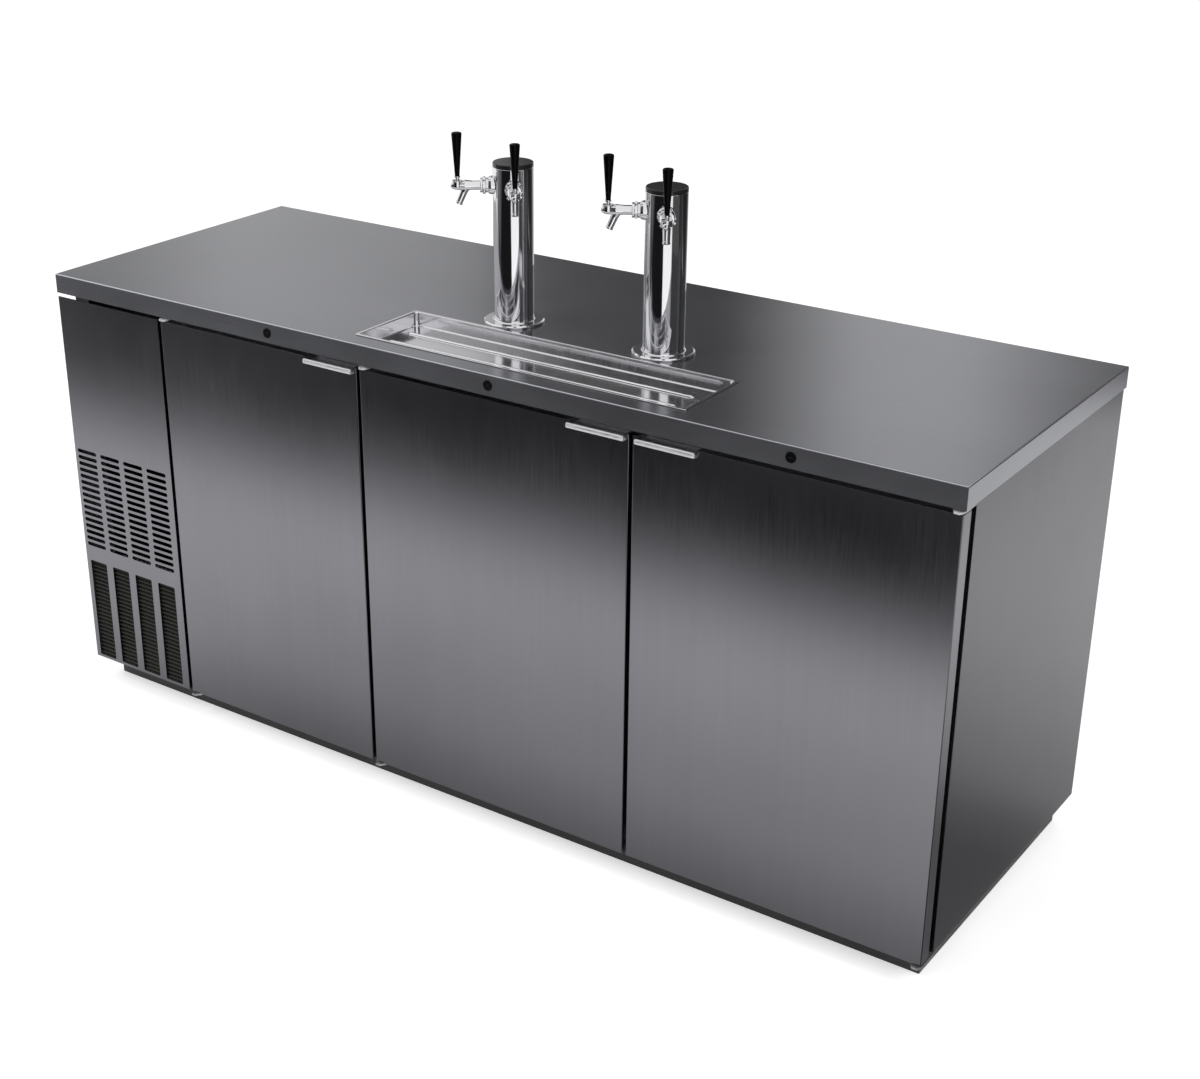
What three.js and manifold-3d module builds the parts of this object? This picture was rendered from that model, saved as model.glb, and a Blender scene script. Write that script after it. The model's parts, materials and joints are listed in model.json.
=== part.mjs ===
// A draft beer cooler: three insulated doors, a machine bay behind a grille at the left,
// a recessed drip pan and two draught towers with two faucets each.
// Millimetres, X to the right as seen from the front, Y to the back, Z up from the floor.
import * as THREE from "three";
import { mergeVertices } from "three/addons/utils/BufferGeometryUtils.js";
import Module from "manifold-3d";

const wasm = await Module();
wasm.setup();

// Fits shared by all pieces
const clearance = 0.3;
const overrun = 5;
const weldDistance = 0.001;
const sheet = 2;

// Countertop
const counterWidth = 2020;
const counterDepth = 688;
const counterHeight = 938;
const counterEdge = 40;
const counterRound = 2.5;

// Body behind the doors
const bodySetback = 45;
const sideOverhang = 2;
const rearOverhang = 6;
const baseHeight = 56.7;
const wallThickness = 50;
const floorThickness = 60;
const headerHeight = 44;
const headerDepth = 50;
const partitionThickness = 56;
const coreSetback = 60;
const sideFold = 40;
const rearSlotWidth = 190;
const rearSlotPitch = 26;
const rearSlotRows = 9;
const rearSlotDrop = 90;

// Base frame under the body
const baseSetback = 50;
const baseSideInset = 26;
const baseRearInset = 30;
const baseWall = 30;

// Front panels, measured between the middles of the seams
const grillePitch = 294;
const leftDoorPitch = 517;
const middleDoorPitch = 602;
const seam = 8;
const doorSideInset = 4;
const doorTopGap = 8;
const doorBottom = 55.3;
const doorThickness = 30;
const doorRound = 2;
const linerInset = 34;
const linerBottomInset = 70;
const linerRise = 6;
const gasketInset = 6;
const gasketBottomInset = 42;
const gasketWidth = 20;
const gasketClearance = 0.5;

// Door hinges
const pinInset = 9;
const pinSetback = 12;
const pinRadius = 4;
const pinLength = 12;
const bracketWidth = 20;
const bracketThickness = 4;
const bracketDoorGap = 2;
const bracketFlange = 22;
const bracketReach = 8;
const earLength = 45;
const earDepth = 18;
const flangeInset = 15;
const pinHeadRadius = 7;
const pinHeadHeight = 5;

// Door pulls
const pullWidth = 118;
const pullReach = 9;
const pullHeight = 10;
const pullInset = 7;
const pullDrop = 2.5;
const pullPlate = 2;
const pullNose = 3.5;
const pocketDepth = 18;

// Locks in the counter's front edge
const lockDrop = 20.5;
const lockRadius = 8;
const bezelRadius = 9.5;
const bezelThickness = 1.2;
const lockLength = 24;
const camThickness = 3;
const camWidth = 10;
const camReach = 35;
const strikeDepth = 10;
const camMargin = 2;
const leftLockShift = 35;

// Grille panel
const grilleSheet = 2.5;
const grilleReturn = 2;
const leftReturnDrop = 40;
const ventColumns = 4;
const ventMiddle = 142;
const ventPitch = 69;
const slotWidth = 56;
const slotHeight = 8;
const slotPitch = 14.5;
const slotRows = 16;
const slotTopDrop = 335;
const windowWidth = 49;
const windowHeight = 231.5;
const windowBottom = 6.7;
const bladeRows = 24;
const bladeThickness = 1.3;
const bladeReach = 9;
const bladeDrop = 3;
const bladeGap = 0.6;
const railWidth = 6;

// Drip pan
const panLeft = 773;
const panWidth = 722;
const panSetback = 40;
const panDepth = 181;
const panRim = 6;
const panRimThickness = 1.5;
const panWall = 1.6;
const panSink = 25;
const ridgeWidth = 9;
const ridgeHeight = 3.5;
const ridgeEndGap = 14;
const ridgeShares = [0.36, 0.7];
const drainInset = 15;
const drainRadius = 11;
const drainWall = 2;
const drainLength = 46;

// Draught towers
const towerPitch = 334;
const towerSetback = 280;
const towerHeight = 305;
const columnRadius = 38.1;
const columnWall = 2.5;
const footRadius = 58;
const footEdge = 4;
const footRise = 16;
const footLip = 5;
const capHeight = 8;
const capPlug = 10;
const capRound = 2.5;
const towerHoleRadius = 30;
const leftTowerTurn = -7;
const rightTowerTurn = -13;
const faucetTurns = [-45, 45];

// Faucets, with distances measured outward from the tower's axis
const faucetHeight = 262;
const shankRadius = 11;
const tailRadius = 6;
const tailStart = 8;
const tailDrop = 26;
const locknutRadius = 16;
const locknutStart = 22;
const locknutThickness = 7;
const collarRadius = 17;
const collarInside = 28;
const collarEnd = 46;
const collarRound = 2.5;
const shankEnd = 54;
const nutRadius = 13.5;
const nutLength = 15;
const nutLip = 3;
const lugRadius = 3.2;
const lugReach = 19;
const lugCount = 4;
const waistRadius = 8.5;
const waistEnd = 76;
const bodyRadius = 10;
const swellOffset = 89;
const noseRadius = 8.2;
const leverOffset = 103;
const faucetReach = 116;
const spoutRadius = 7;
const spoutTipRadius = 6.3;
const spoutBore = 4.5;
const spoutBoreDepth = 18;
const spoutStart = 86;
const spoutEnd = 101;
const spoutDrop = 34;
const socketRadius = 9.5;
const socketRise = 9.5;
const socketWall = 1;
const pivotRise = 6;
const ballRadius = 5;

// Tap handles
const neckRadius = 3.2;
const ferruleRadius = 5.6;
const ferruleRise = 8.5;
const ferruleHeight = 3;
const handleLength = 81;
const handleFootRadius = 4.4;
const handleHeadRadius = 9.7;
const handleRound = 2;
const handleCrown = 0.8;

// Machine bay
const traySetback = 62;
const trayRim = 20;
const bayGap = 10;
const coilWidth = 236;
const coilHeight = 230;
const coilDepth = 46;
const coilFins = 18;
const finDepth = 14;
const finShare = 0.45;
const fanRadius = 92;
const fanHubRadius = 20;
const fanHubLength = 18;
const fanBlades = 5;
const fanGap = 8;
const fanSheet = 1.6;
const fanPitchAngle = 32;
const fanSpanAngle = 46;
const motorRadius = 34;
const motorLength = 62;
const shaftRadius = 4;
const postWidth = 26;
const compressorRadius = 82;
const compressorHeight = 190;
const compressorSetback = 440;
const compressorFoot = 190;
const footPlate = 6;

// Evaporator on the back wall of the keg bay
const evaporatorLeft = 400;
const evaporatorWidth = 420;
const evaporatorHeight = 180;
const evaporatorDepth = 96;
const evaporatorDrop = 24;
const evaporatorOpening = 66;
const evaporatorFanRadius = 60;
const evaporatorHubRadius = 18;
const evaporatorCoilDepth = 30;
const evaporatorFins = 14;
const evaporatorMotorRadius = 20;
const evaporatorMotorLength = 22;
const strapWidth = 16;

// Facets
const columnSides = 32;
const faucetSides = 14;
const smallSides = 8;
const hexSides = 6;
const arcSteps = 3;
const smallArcSteps = 2;

// Places worked out from the sizes above
const halfTurn = Math.PI;
const quarterTurn = Math.PI / 2;
const tailCentre = tailStart + tailRadius;
const halfWidth = counterWidth / 2;
const frontY = (pullReach - counterDepth) / 2;
const fromLeft = (distance) => distance - halfWidth;
const fromFront = (distance) => frontY + distance;
const counterBottom = counterHeight - counterEdge;
const bodyFront = fromFront(bodySetback);
const bodyBack = fromFront(counterDepth - rearOverhang);
const bodyLeft = fromLeft(sideOverhang);
const bodyRight = fromLeft(counterWidth - sideOverhang);
const bodyBottom = baseHeight + clearance;
const bodyTop = counterBottom - clearance;
const floorTop = bodyBottom + floorThickness;
const wallBottom = floorTop + clearance;
const doorTop = counterBottom - doorTopGap;
const doorFace = fromFront(0);
const doorBack = fromFront(doorThickness);
const headerBottom = bodyTop - headerHeight;
const mullionWidth = seam + 2 * (gasketInset + gasketWidth);
const leftSeam = fromLeft(grillePitch);
const middleSeam = fromLeft(grillePitch + leftDoorPitch);
const rightSeam = fromLeft(grillePitch + leftDoorPitch + middleDoorPitch);
const partitionLeft = leftSeam - seam / 2 - bayGap;
const partitionRight = partitionLeft + partitionThickness;
const panMiddle = fromLeft(panLeft + panWidth / 2);
const towerPlaces = [
  { side: "left", x: panMiddle - towerPitch / 2, turn: leftTowerTurn },
  { side: "right", x: panMiddle + towerPitch / 2, turn: rightTowerTurn },
];
const doorEnds = [leftSeam, middleSeam, rightSeam, fromLeft(counterWidth - doorSideInset) + seam / 2];
const doors = [
  { name: "left", hinge: -1, lockShift: leftLockShift },
  { name: "middle", hinge: -1, lockShift: 0 },
  { name: "right", hinge: 1, lockShift: 0 },
].map((door, index) => {
  return { ...door, left: doorEnds[index] + seam / 2, right: doorEnds[index + 1] - seam / 2 };
});

// Colours and finishes
const steelFinish = { color: 0x88888c, roughness: 0.35, metalness: 1 };
const polishedFinish = { color: 0xc8c8cc, roughness: 0.08, metalness: 1 };
const zincFinish = { color: 0x9a9c9a, roughness: 0.5, metalness: 0.9 };
const linerFinish = { color: 0xb4b6b8, roughness: 0.45, metalness: 0.6 };
const blackFinish = { color: 0x0c0c0d, roughness: 0.3, metalness: 0 };
const rubberFinish = { color: 0x161616, roughness: 0.8, metalness: 0 };

const model = new THREE.Group();

function addPiece(name, solid, finish, parent = model) {
  const data = solid.getMesh();
  const geometry = new THREE.BufferGeometry();
  geometry.setAttribute("position", new THREE.BufferAttribute(data.vertProperties, data.numProp));
  geometry.setIndex(new THREE.BufferAttribute(data.triVerts, 1));
  geometry.computeVertexNormals();
  const mesh = new THREE.Mesh(geometry, new THREE.MeshStandardMaterial(finish));
  mesh.name = name;
  parent.add(mesh);
  return mesh;
}

// A closed three.js geometry becomes a solid once its shared vertices are merged
// and the flat triangles that a revolve leaves on its axis are dropped.
function toSolid(geometry) {
  const bare = geometry.clone();
  bare.deleteAttribute("normal");
  bare.deleteAttribute("uv");
  const merged = mergeVertices(bare, weldDistance);
  const corners = merged.index.array;
  const kept = [];
  for (let first = 0; first < corners.length; first += 3) {
    const [a, b, c] = corners.slice(first, first + 3);
    if (a !== b && b !== c && c !== a) kept.push(a, b, c);
  }
  const mesh = new wasm.Mesh({
    numProp: 3,
    vertProperties: Float32Array.from(merged.attributes.position.array),
    triVerts: Uint32Array.from(kept),
  });
  return new wasm.Manifold(mesh);
}

function box({ x, y, z }) {
  const geometry = new THREE.BoxGeometry(x[1] - x[0], y[1] - y[0], z[1] - z[0]);
  geometry.translate((x[0] + x[1]) / 2, (y[0] + y[1]) / 2, (z[0] + z[1]) / 2);
  return toSolid(geometry);
}

function rod(start, end, radius, sides, endRadius = radius) {
  const from = new THREE.Vector3(...start);
  const along = new THREE.Vector3(...end).sub(from);
  const geometry = new THREE.CylinderGeometry(endRadius, radius, along.length(), sides);
  const direction = along.clone().normalize();
  geometry.applyQuaternion(new THREE.Quaternion().setFromUnitVectors(THREE.Object3D.DEFAULT_UP, direction));
  const middle = from.addScaledVector(along, 1 / 2);
  geometry.translate(middle.x, middle.y, middle.z);
  return toSolid(geometry);
}

// Revolves a list of [radius, height] points about the Z axis.
function revolve(profile, sides) {
  const points = profile.map(([radius, height]) => new THREE.Vector2(radius, height));
  const geometry = new THREE.LatheGeometry(points, sides);
  geometry.rotateX(quarterTurn);
  return toSolid(geometry);
}

// Revolves a list of [radius, reach] points about the outward axis of a faucet, which is -Y.
function revolveOutward(profile, sides) {
  const points = profile.map(([radius, reach]) => new THREE.Vector2(radius, reach));
  const geometry = new THREE.LatheGeometry(points, sides);
  geometry.rotateZ(halfTurn);
  return toSolid(geometry);
}

function extrude(shape, length) {
  return new THREE.ExtrudeGeometry(shape, { depth: length, bevelEnabled: false, curveSegments: arcSteps });
}

// The shape's own axes become X and Y, and it rises from bottom to top.
function prismUp(shape, bottom, top) {
  return toSolid(extrude(shape, top - bottom).translate(0, 0, bottom));
}

// The shape's own axes become X and Z, and it runs from front to back.
function prismBack(shape, front, back) {
  return toSolid(extrude(shape, back - front).rotateX(quarterTurn).translate(0, back, 0));
}

// The shape's own axes become Y and Z, and it runs from left to right.
function prismAcross(shape, left, right) {
  const geometry = extrude(shape, right - left).rotateX(quarterTurn).rotateZ(quarterTurn);
  return toSolid(geometry.translate(left, 0, 0));
}

function outline(points) {
  return new THREE.Shape(points.map(([x, y]) => new THREE.Vector2(x, y)));
}

// Points along an arc of an ellipse, as [across, up] pairs
function arc([across, up], [wide, high], from, to, steps = arcSteps) {
  return Array.from({ length: steps + 1 }, (_, step) => {
    const angle = THREE.MathUtils.lerp(from, to, step / steps);
    return [across + wide * Math.cos(angle), up + high * Math.sin(angle)];
  });
}

// A rectangle whose four corners each have a radius of their own, from the lower left
// corner against the clock.
function roundedRectangle(x, y, radii) {
  const shape = new THREE.Shape();
  const corners = [[x[0], y[0]], [x[1], y[0]], [x[1], y[1]], [x[0], y[1]]];
  corners.forEach(([cornerX, cornerY], turn) => {
    const radius = radii[turn];
    const inX = cornerX === x[0] ? radius : -radius;
    const inY = cornerY === y[0] ? radius : -radius;
    const start = halfTurn + turn * quarterTurn;
    if (radius > 0) shape.absarc(cornerX + inX, cornerY + inY, radius, start, start + quarterTurn);
    else if (turn === 0) shape.moveTo(cornerX, cornerY);
    else shape.lineTo(cornerX, cornerY);
  });
  return shape;
}

function grown(range, amount) {
  return [range[0] - amount, range[1] + amount];
}

function around(middle, size) {
  return [middle - size / 2, middle + size / 2];
}

// Sheet top with turned-down edges, open below
function makeCountertop() {
  const x = [-halfWidth, halfWidth];
  const y = [frontY, fromFront(counterDepth)];
  const inner = roundedRectangle(grown(x, -counterRound), grown(y, -counterRound), [0, 0, 0, 0]);
  const blank = new THREE.ExtrudeGeometry(inner, {
    depth: counterEdge,
    bevelEnabled: true,
    bevelThickness: counterRound,
    bevelSize: counterRound,
    bevelSegments: arcSteps,
  });
  blank.translate(0, 0, counterBottom - counterRound);
  const under = box({ x, y, z: [counterBottom - counterEdge, counterBottom] });
  const hollow = box({
    x: grown(x, -sheet),
    y: grown(y, -sheet),
    z: [counterBottom - overrun, counterHeight - sheet],
  });
  const pan = panBody();
  const hole = box({
    x: grown(pan.x, clearance),
    y: grown(pan.y, clearance),
    z: [counterBottom, counterHeight + overrun],
  });
  let solid = toSolid(blank).subtract(under).subtract(hollow).subtract(hole);
  for (const tower of towerPlaces) {
    solid = solid.subtract(towerHole(tower));
  }
  for (const door of doors) {
    const centre = lockCentre(door);
    const start = [centre.x, frontY - overrun, centre.z];
    const end = [centre.x, frontY + sheet + overrun, centre.z];
    solid = solid.subtract(rod(start, end, lockRadius + clearance, faucetSides));
  }
  return solid;
}

function towerHole(tower) {
  const start = [tower.x, fromFront(towerSetback), counterBottom - overrun];
  const end = [tower.x, fromFront(towerSetback), counterHeight + overrun];
  return rod(start, end, towerHoleRadius, faucetSides);
}

// Insulated slab under the sheet, resting on the walls
function makeCounterCore() {
  const side = sheet + clearance;
  const slab = box({
    x: grown([-halfWidth, halfWidth], -side),
    y: [fromFront(coreSetback), fromFront(counterDepth - side)],
    z: [counterBottom, counterHeight - side],
  });
  const pan = panBody();
  const pocket = box({
    x: grown(pan.x, clearance),
    y: [fromFront(coreSetback) - overrun, pan.y[1] + clearance],
    z: [pan.z[0] - clearance, counterHeight + overrun],
  });
  const drain = drainCentre();
  const drainHole = rod([drain.x, drain.y, counterBottom - overrun], [drain.x, drain.y, counterHeight],
    drainRadius + clearance, faucetSides);
  let solid = slab.subtract(pocket).subtract(drainHole);
  for (const tower of towerPlaces) {
    solid = solid.subtract(towerHole(tower));
  }
  return solid;
}

// Outside of the pan below its rim
function panBody() {
  return {
    x: [fromLeft(panLeft + panRim), fromLeft(panLeft + panWidth - panRim)],
    y: [fromFront(panSetback + panRim), fromFront(panSetback + panDepth - panRim)],
    z: [counterHeight - panSink - panWall, counterHeight + clearance + panRimThickness],
  };
}

function drainCentre() {
  const pan = panBody();
  return { x: pan.x[1] - drainInset - drainRadius, y: (pan.y[0] + pan.y[1]) / 2 };
}

function makeDripPan() {
  const body = panBody();
  const rimBottom = counterHeight + clearance;
  const rim = box({
    x: grown(body.x, panRim),
    y: grown(body.y, panRim),
    z: [rimBottom, rimBottom + panRimThickness],
  });
  const level = body.z[0] + panWall;
  const hollow = box({
    x: grown(body.x, -panWall),
    y: grown(body.y, -panWall),
    z: [level, rimBottom + overrun],
  });
  const drain = drainCentre();
  const below = body.z[0] - drainLength;
  const spout = rod([drain.x, drain.y, below], [drain.x, drain.y, level], drainRadius, faucetSides);
  const boreStart = [drain.x, drain.y, below - overrun];
  const bore = rod(boreStart, [drain.x, drain.y, level + overrun], drainRadius - drainWall, faucetSides);
  let solid = box(body).add(rim).subtract(hollow).add(spout);
  for (const share of ridgeShares) {
    const y = THREE.MathUtils.lerp(body.y[0], body.y[1], share);
    const profile = new THREE.Shape();
    profile.absellipse(y, level - panWall / 2, ridgeWidth / 2, ridgeHeight + panWall / 2, 0, halfTurn);
    const right = drain.x - drainRadius - ridgeEndGap;
    solid = solid.add(prismAcross(profile, body.x[0] + panWall + ridgeEndGap, right));
  }
  return solid.subtract(bore);
}

// Insulated walls, floor, header and mullions
function makeBody() {
  const rightWallLeft = bodyRight - wallThickness;
  const bay = [partitionRight + clearance, rightWallLeft - clearance];
  const deep = [bodyFront, bodyBack];
  const front = [bodyFront, bodyFront + headerDepth];
  const tall = [wallBottom, bodyTop];
  const slab = box({ x: [partitionLeft, bay[1]], y: deep, z: [bodyBottom, floorTop] });
  const end = box({ x: [rightWallLeft, bodyRight], y: deep, z: [bodyBottom, bodyTop] });
  addPiece("insulated_floor", slab, linerFinish);
  addPiece("right_end_wall", end, steelFinish);
  addPiece("partition_wall", box({ x: [partitionLeft, partitionRight], y: deep, z: tall }), linerFinish);
  addPiece("back_wall", box({ x: bay, y: [bodyBack - wallThickness, bodyBack], z: tall }), zincFinish);
  addPiece("header_rail", box({ x: bay, y: front, z: [headerBottom, bodyTop] }), linerFinish);
  for (const [name, middle] of [["left_mullion", middleSeam], ["right_mullion", rightSeam]]) {
    const z = [wallBottom, headerBottom - clearance];
    addPiece(name, box({ x: around(middle, mullionWidth), y: front, z }), linerFinish);
  }
}

function makeBaseFrame() {
  const outer = {
    x: [fromLeft(baseSideInset), fromLeft(counterWidth - baseSideInset)],
    y: [fromFront(baseSetback), fromFront(counterDepth - baseRearInset)],
    z: [0, baseHeight],
  };
  const hollow = { x: grown(outer.x, -baseWall), y: grown(outer.y, -baseWall), z: grown(outer.z, overrun) };
  return box(outer).subtract(box(hollow));
}

// Side sheet of the machine bay, folded inward at its front and round the bay's back,
// where slots let the warm air out
function makeLeftSide() {
  const right = bodyLeft + sheet;
  const fold = bodyLeft + sideFold;
  const end = partitionLeft - clearance;
  const shape = outline([
    [bodyLeft, bodyFront], [fold, bodyFront], [fold, bodyFront + sheet], [right, bodyFront + sheet],
    [right, bodyBack - sheet], [end, bodyBack - sheet], [end, bodyBack], [bodyLeft, bodyBack],
  ]);
  const slots = Array.from({ length: rearSlotRows }, (_, row) => box({
    x: around((bodyLeft + end) / 2, rearSlotWidth),
    y: grown([bodyBack - sheet, bodyBack], overrun),
    z: around(bodyTop - rearSlotDrop - row * rearSlotPitch, slotHeight),
  }));
  return prismUp(shape, bodyBottom, bodyTop).subtract(wasm.Manifold.union(slots));
}

function lockCentre(door) {
  return { x: (door.left + door.right) / 2 + door.lockShift, z: counterHeight - lockDrop };
}

// The pull sits at the corner away from the hinge
function pullSpan(door) {
  const start = door.hinge < 0 ? door.right - pullInset - pullWidth : door.left + pullInset;
  return [start, start + pullWidth];
}

// The pull's nose ends a little below the door's top
function pullBottom() {
  return doorTop - pullDrop - pullHeight;
}

function pinPlace(door) {
  const x = door.hinge < 0 ? door.left + pinInset : door.right - pinInset;
  return { x, y: doorFace + pinSetback };
}

function makeDoorPanel(door) {
  const plan = roundedRectangle([door.left, door.right], [doorFace, doorBack], [doorRound, doorRound, 0, 0]);
  const liner = box({
    x: [door.left + linerInset, door.right - linerInset],
    y: [doorBack - overrun, doorBack + linerRise],
    z: [doorBottom + linerBottomInset, doorTop - linerInset],
  });
  const pocket = box({
    x: grown(pullSpan(door), clearance),
    y: [doorFace - overrun, doorFace + pocketDepth],
    z: [pullBottom() - clearance, doorTop + overrun],
  });
  const pin = pinPlace(door);
  const depth = pinLength + clearance;
  const boreRadius = (pinRadius + clearance) / Math.cos(Math.PI / smallSides);
  const upper = pinRod(pin, [doorTop - depth, doorTop + overrun], boreRadius);
  const lower = pinRod(pin, [doorBottom - overrun, doorBottom + depth], boreRadius);
  const panel = prismUp(plan, doorBottom, doorTop).add(liner);
  return panel.subtract(pocket).subtract(strikeNotch(door)).subtract(upper).subtract(lower);
}

// Room behind the door's front skin that the lock's cam turns down into
function strikeNotch(door) {
  const lock = lockCentre(door);
  const swing = Math.sqrt(camReach ** 2 - (lock.z - doorTop) ** 2);
  const side = camWidth / 2 + camMargin;
  return box({
    x: [lock.x - side, lock.x + swing + side],
    y: [frontY + lockLength - camMargin, doorBack + overrun],
    z: [doorTop - strikeDepth, doorTop + overrun],
  });
}

function makeGasket(door) {
  const x = grown([door.left, door.right], -gasketInset);
  const z = [doorBottom + gasketBottomInset, doorTop - gasketInset];
  const y = [doorBack + clearance, bodyFront - gasketClearance];
  const hole = box({ x: grown(x, -gasketWidth), y: grown(y, overrun), z: grown(z, -gasketWidth) });
  return box({ x, y, z }).subtract(hole);
}

// A plate on the pocket's floor that runs out in front of the door and turns up into a nose
function makePull(door) {
  const back = doorFace + pocketDepth - clearance;
  const front = doorFace - pullReach;
  const low = pullBottom();
  const tip = pullNose / 2;
  const tipLevel = doorTop - pullDrop - tip;
  const shape = new THREE.Shape();
  shape.moveTo(back, low);
  shape.lineTo(back, low + pullPlate);
  shape.lineTo(front + pullNose, low + pullPlate);
  shape.lineTo(front + pullNose, tipLevel);
  shape.absarc(front + tip, tipLevel, tip, 0, halfTurn);
  shape.lineTo(front, low + pullNose);
  shape.absarc(front + pullNose, low + pullNose, pullNose, halfTurn, halfTurn + quarterTurn);
  return prismAcross(shape, ...pullSpan(door));
}

// A plate with a round nose, a pin that reaches into the door, and an ear with a flange
// that lies against the body or the base frame
function makeBracket(door, upper) {
  const pin = pinPlace(door);
  const inward = (distance) => pin.x - door.hinge * distance;
  const nearDoor = upper ? doorTop + bracketDoorGap : doorBottom - bracketDoorGap;
  const away = upper ? nearDoor + bracketThickness : nearDoor - bracketThickness;
  const plate = [Math.min(nearDoor, away), Math.max(nearDoor, away)];
  const seat = (upper ? bodyFront : fromFront(baseSetback)) - clearance;
  const half = bracketWidth / 2;
  const nose = arc([pin.x, doorFace - bracketReach + half], [half, half], -halfTurn, 0);
  if (door.hinge > 0) nose.reverse();
  const plan = outline([
    [inward(-half), seat], ...nose, [inward(half), seat - earDepth],
    [inward(half + earLength), seat - earDepth], [inward(half + earLength), seat],
  ]);
  const flangeEnd = upper ? doorTop - gasketInset + clearance : plate[0] - bracketFlange;
  const flange = box({
    x: [inward(flangeInset), inward(half + earLength)].sort((a, b) => a - b),
    y: [seat - bracketThickness, seat],
    z: [flangeEnd, plate[1]],
  });
  const pinEnd = upper ? doorTop - pinLength : doorBottom + pinLength;
  const pinZ = [Math.min(pinEnd, plate[0]), Math.max(pinEnd, plate[1])];
  const solid = prismUp(plan, ...plate).add(flange).add(pinRod(pin, pinZ, pinRadius));
  return upper ? solid : solid.add(pinRod(pin, [plate[0] - pinHeadHeight, plate[1]], pinHeadRadius));
}

function pinRod(pin, z, radius) {
  return rod([pin.x, pin.y, z[0]], [pin.x, pin.y, z[1]], radius, smallSides);
}

// Bezel, barrel and cam turn as one piece; the cam lies level while unlocked
function makeLock(door) {
  const { x, z } = lockCentre(door);
  const camFront = frontY + lockLength;
  const bezelBack = frontY - clearance;
  const bezel = rod([x, bezelBack - bezelThickness, z], [x, bezelBack, z], bezelRadius, faucetSides);
  const barrel = rod([x, bezelBack, z], [x, camFront, z], lockRadius, faucetSides);
  const half = camWidth / 2;
  const shape = new THREE.Shape();
  shape.moveTo(x, z - half);
  shape.lineTo(x + camReach - half, z - half);
  shape.absarc(x + camReach - half, z, half, -quarterTurn, quarterTurn);
  shape.lineTo(x, z + half);
  shape.absarc(x, z, half, quarterTurn, halfTurn + quarterTurn);
  return bezel.add(barrel).add(prismBack(shape, camFront, camFront + camThickness));
}

// Four columns of slots above, four louvred windows below, and folded sides
function makeGrille() {
  const x = [bodyLeft, leftSeam - seam / 2];
  const z = [doorBottom, doorTop];
  const sheetBack = frontY + grilleSheet;
  const windowZ = [z[0] + windowBottom, z[0] + windowBottom + windowHeight];
  const middles = ventMiddles();
  const cuts = [];
  for (const middle of middles) {
    for (let row = 0; row < slotRows; row += 1) {
      cuts.push(slotCut(around(middle, slotWidth), z[1] - slotTopDrop - slotHeight / 2 - row * slotPitch));
    }
    cuts.push(box({ x: around(middle, windowWidth), y: grown([frontY, sheetBack], overrun), z: windowZ }));
  }
  const face = box({ x, y: [frontY, sheetBack], z }).subtract(wasm.Manifold.union(cuts));
  const deep = [frontY, bodyFront - clearance];
  const left = box({ x: [x[0], x[0] + grilleReturn], y: deep, z: [z[0], z[1] - leftReturnDrop] });
  const right = box({ x: [x[1] - grilleReturn, x[1]], y: deep, z });
  const field = [middles[0] - windowWidth / 2, middles[ventColumns - 1] + windowWidth / 2];
  return wasm.Manifold.union([face, left, right, ...makeLouvres(field, sheetBack, windowZ)]);
}

// Blades behind the windows, held between two upright rails
function makeLouvres(field, sheetBack, z) {
  const y = [sheetBack - grilleSheet / 2, sheetBack + bladeGap + bladeReach];
  const rails = [field[0] - railWidth, field[1]].map((start) => box({ x: [start, start + railWidth], y, z }));
  const pitch = windowHeight / bladeRows;
  const blades = Array.from({ length: bladeRows }, (_, row) => {
    return makeBlade(grown(field, railWidth / 2), sheetBack + bladeGap, z[0] + (row + 1 / 2) * pitch);
  });
  return [...rails, ...blades];
}

function ventMiddles() {
  const first = fromLeft(ventMiddle) - (ventColumns - 1) * ventPitch / 2;
  return Array.from({ length: ventColumns }, (_, column) => first + column * ventPitch);
}

// A slot with round ends
function slotCut(x, level) {
  const radius = slotHeight / 2;
  const shape = outline([
    ...arc([x[1] - radius, level], [radius, radius], -quarterTurn, quarterTurn, smallArcSteps),
    ...arc([x[0] + radius, level], [radius, radius], quarterTurn, halfTurn + quarterTurn, smallArcSteps),
  ]);
  return prismBack(shape, frontY - overrun, frontY + grilleSheet + overrun);
}

// One louvre blade that falls towards the back
function makeBlade(x, front, level) {
  const half = bladeThickness / 2;
  const back = front + bladeReach - half;
  const shape = outline([
    [front, level - half], [back, level - half - bladeDrop],
    [back, level + half - bladeDrop], [front, level + half],
  ]);
  return prismAcross(shape, ...x);
}

// A tower's own frame stands on the counter, with its axis on Z
function makeTower(tower) {
  const group = new THREE.Group();
  group.position.set(tower.x, fromFront(towerSetback), counterHeight);
  group.rotation.z = THREE.MathUtils.degToRad(tower.turn);
  model.add(group);
  addPiece(`${tower.side}_tower_column`, makeColumn(), polishedFinish, group);
  addPiece(`${tower.side}_tower_cap`, makeCap(), polishedFinish, group);
  faucetTurns.forEach((turn, index) => {
    const faucet = new THREE.Group();
    faucet.rotation.z = THREE.MathUtils.degToRad(turn);
    group.add(faucet);
    const label = `${tower.side}_tower_${index === 0 ? "left" : "right"}`;
    addPiece(`${label}_shank`, makeShank(), polishedFinish, faucet);
    addPiece(`${label}_coupling_nut`, makeCouplingNut(), polishedFinish, faucet);
    addPiece(`${label}_faucet`, makeFaucet(), polishedFinish, faucet);
    addPiece(`${label}_tap_handle`, makeTapHandle(), blackFinish, faucet);
  });
}

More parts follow.
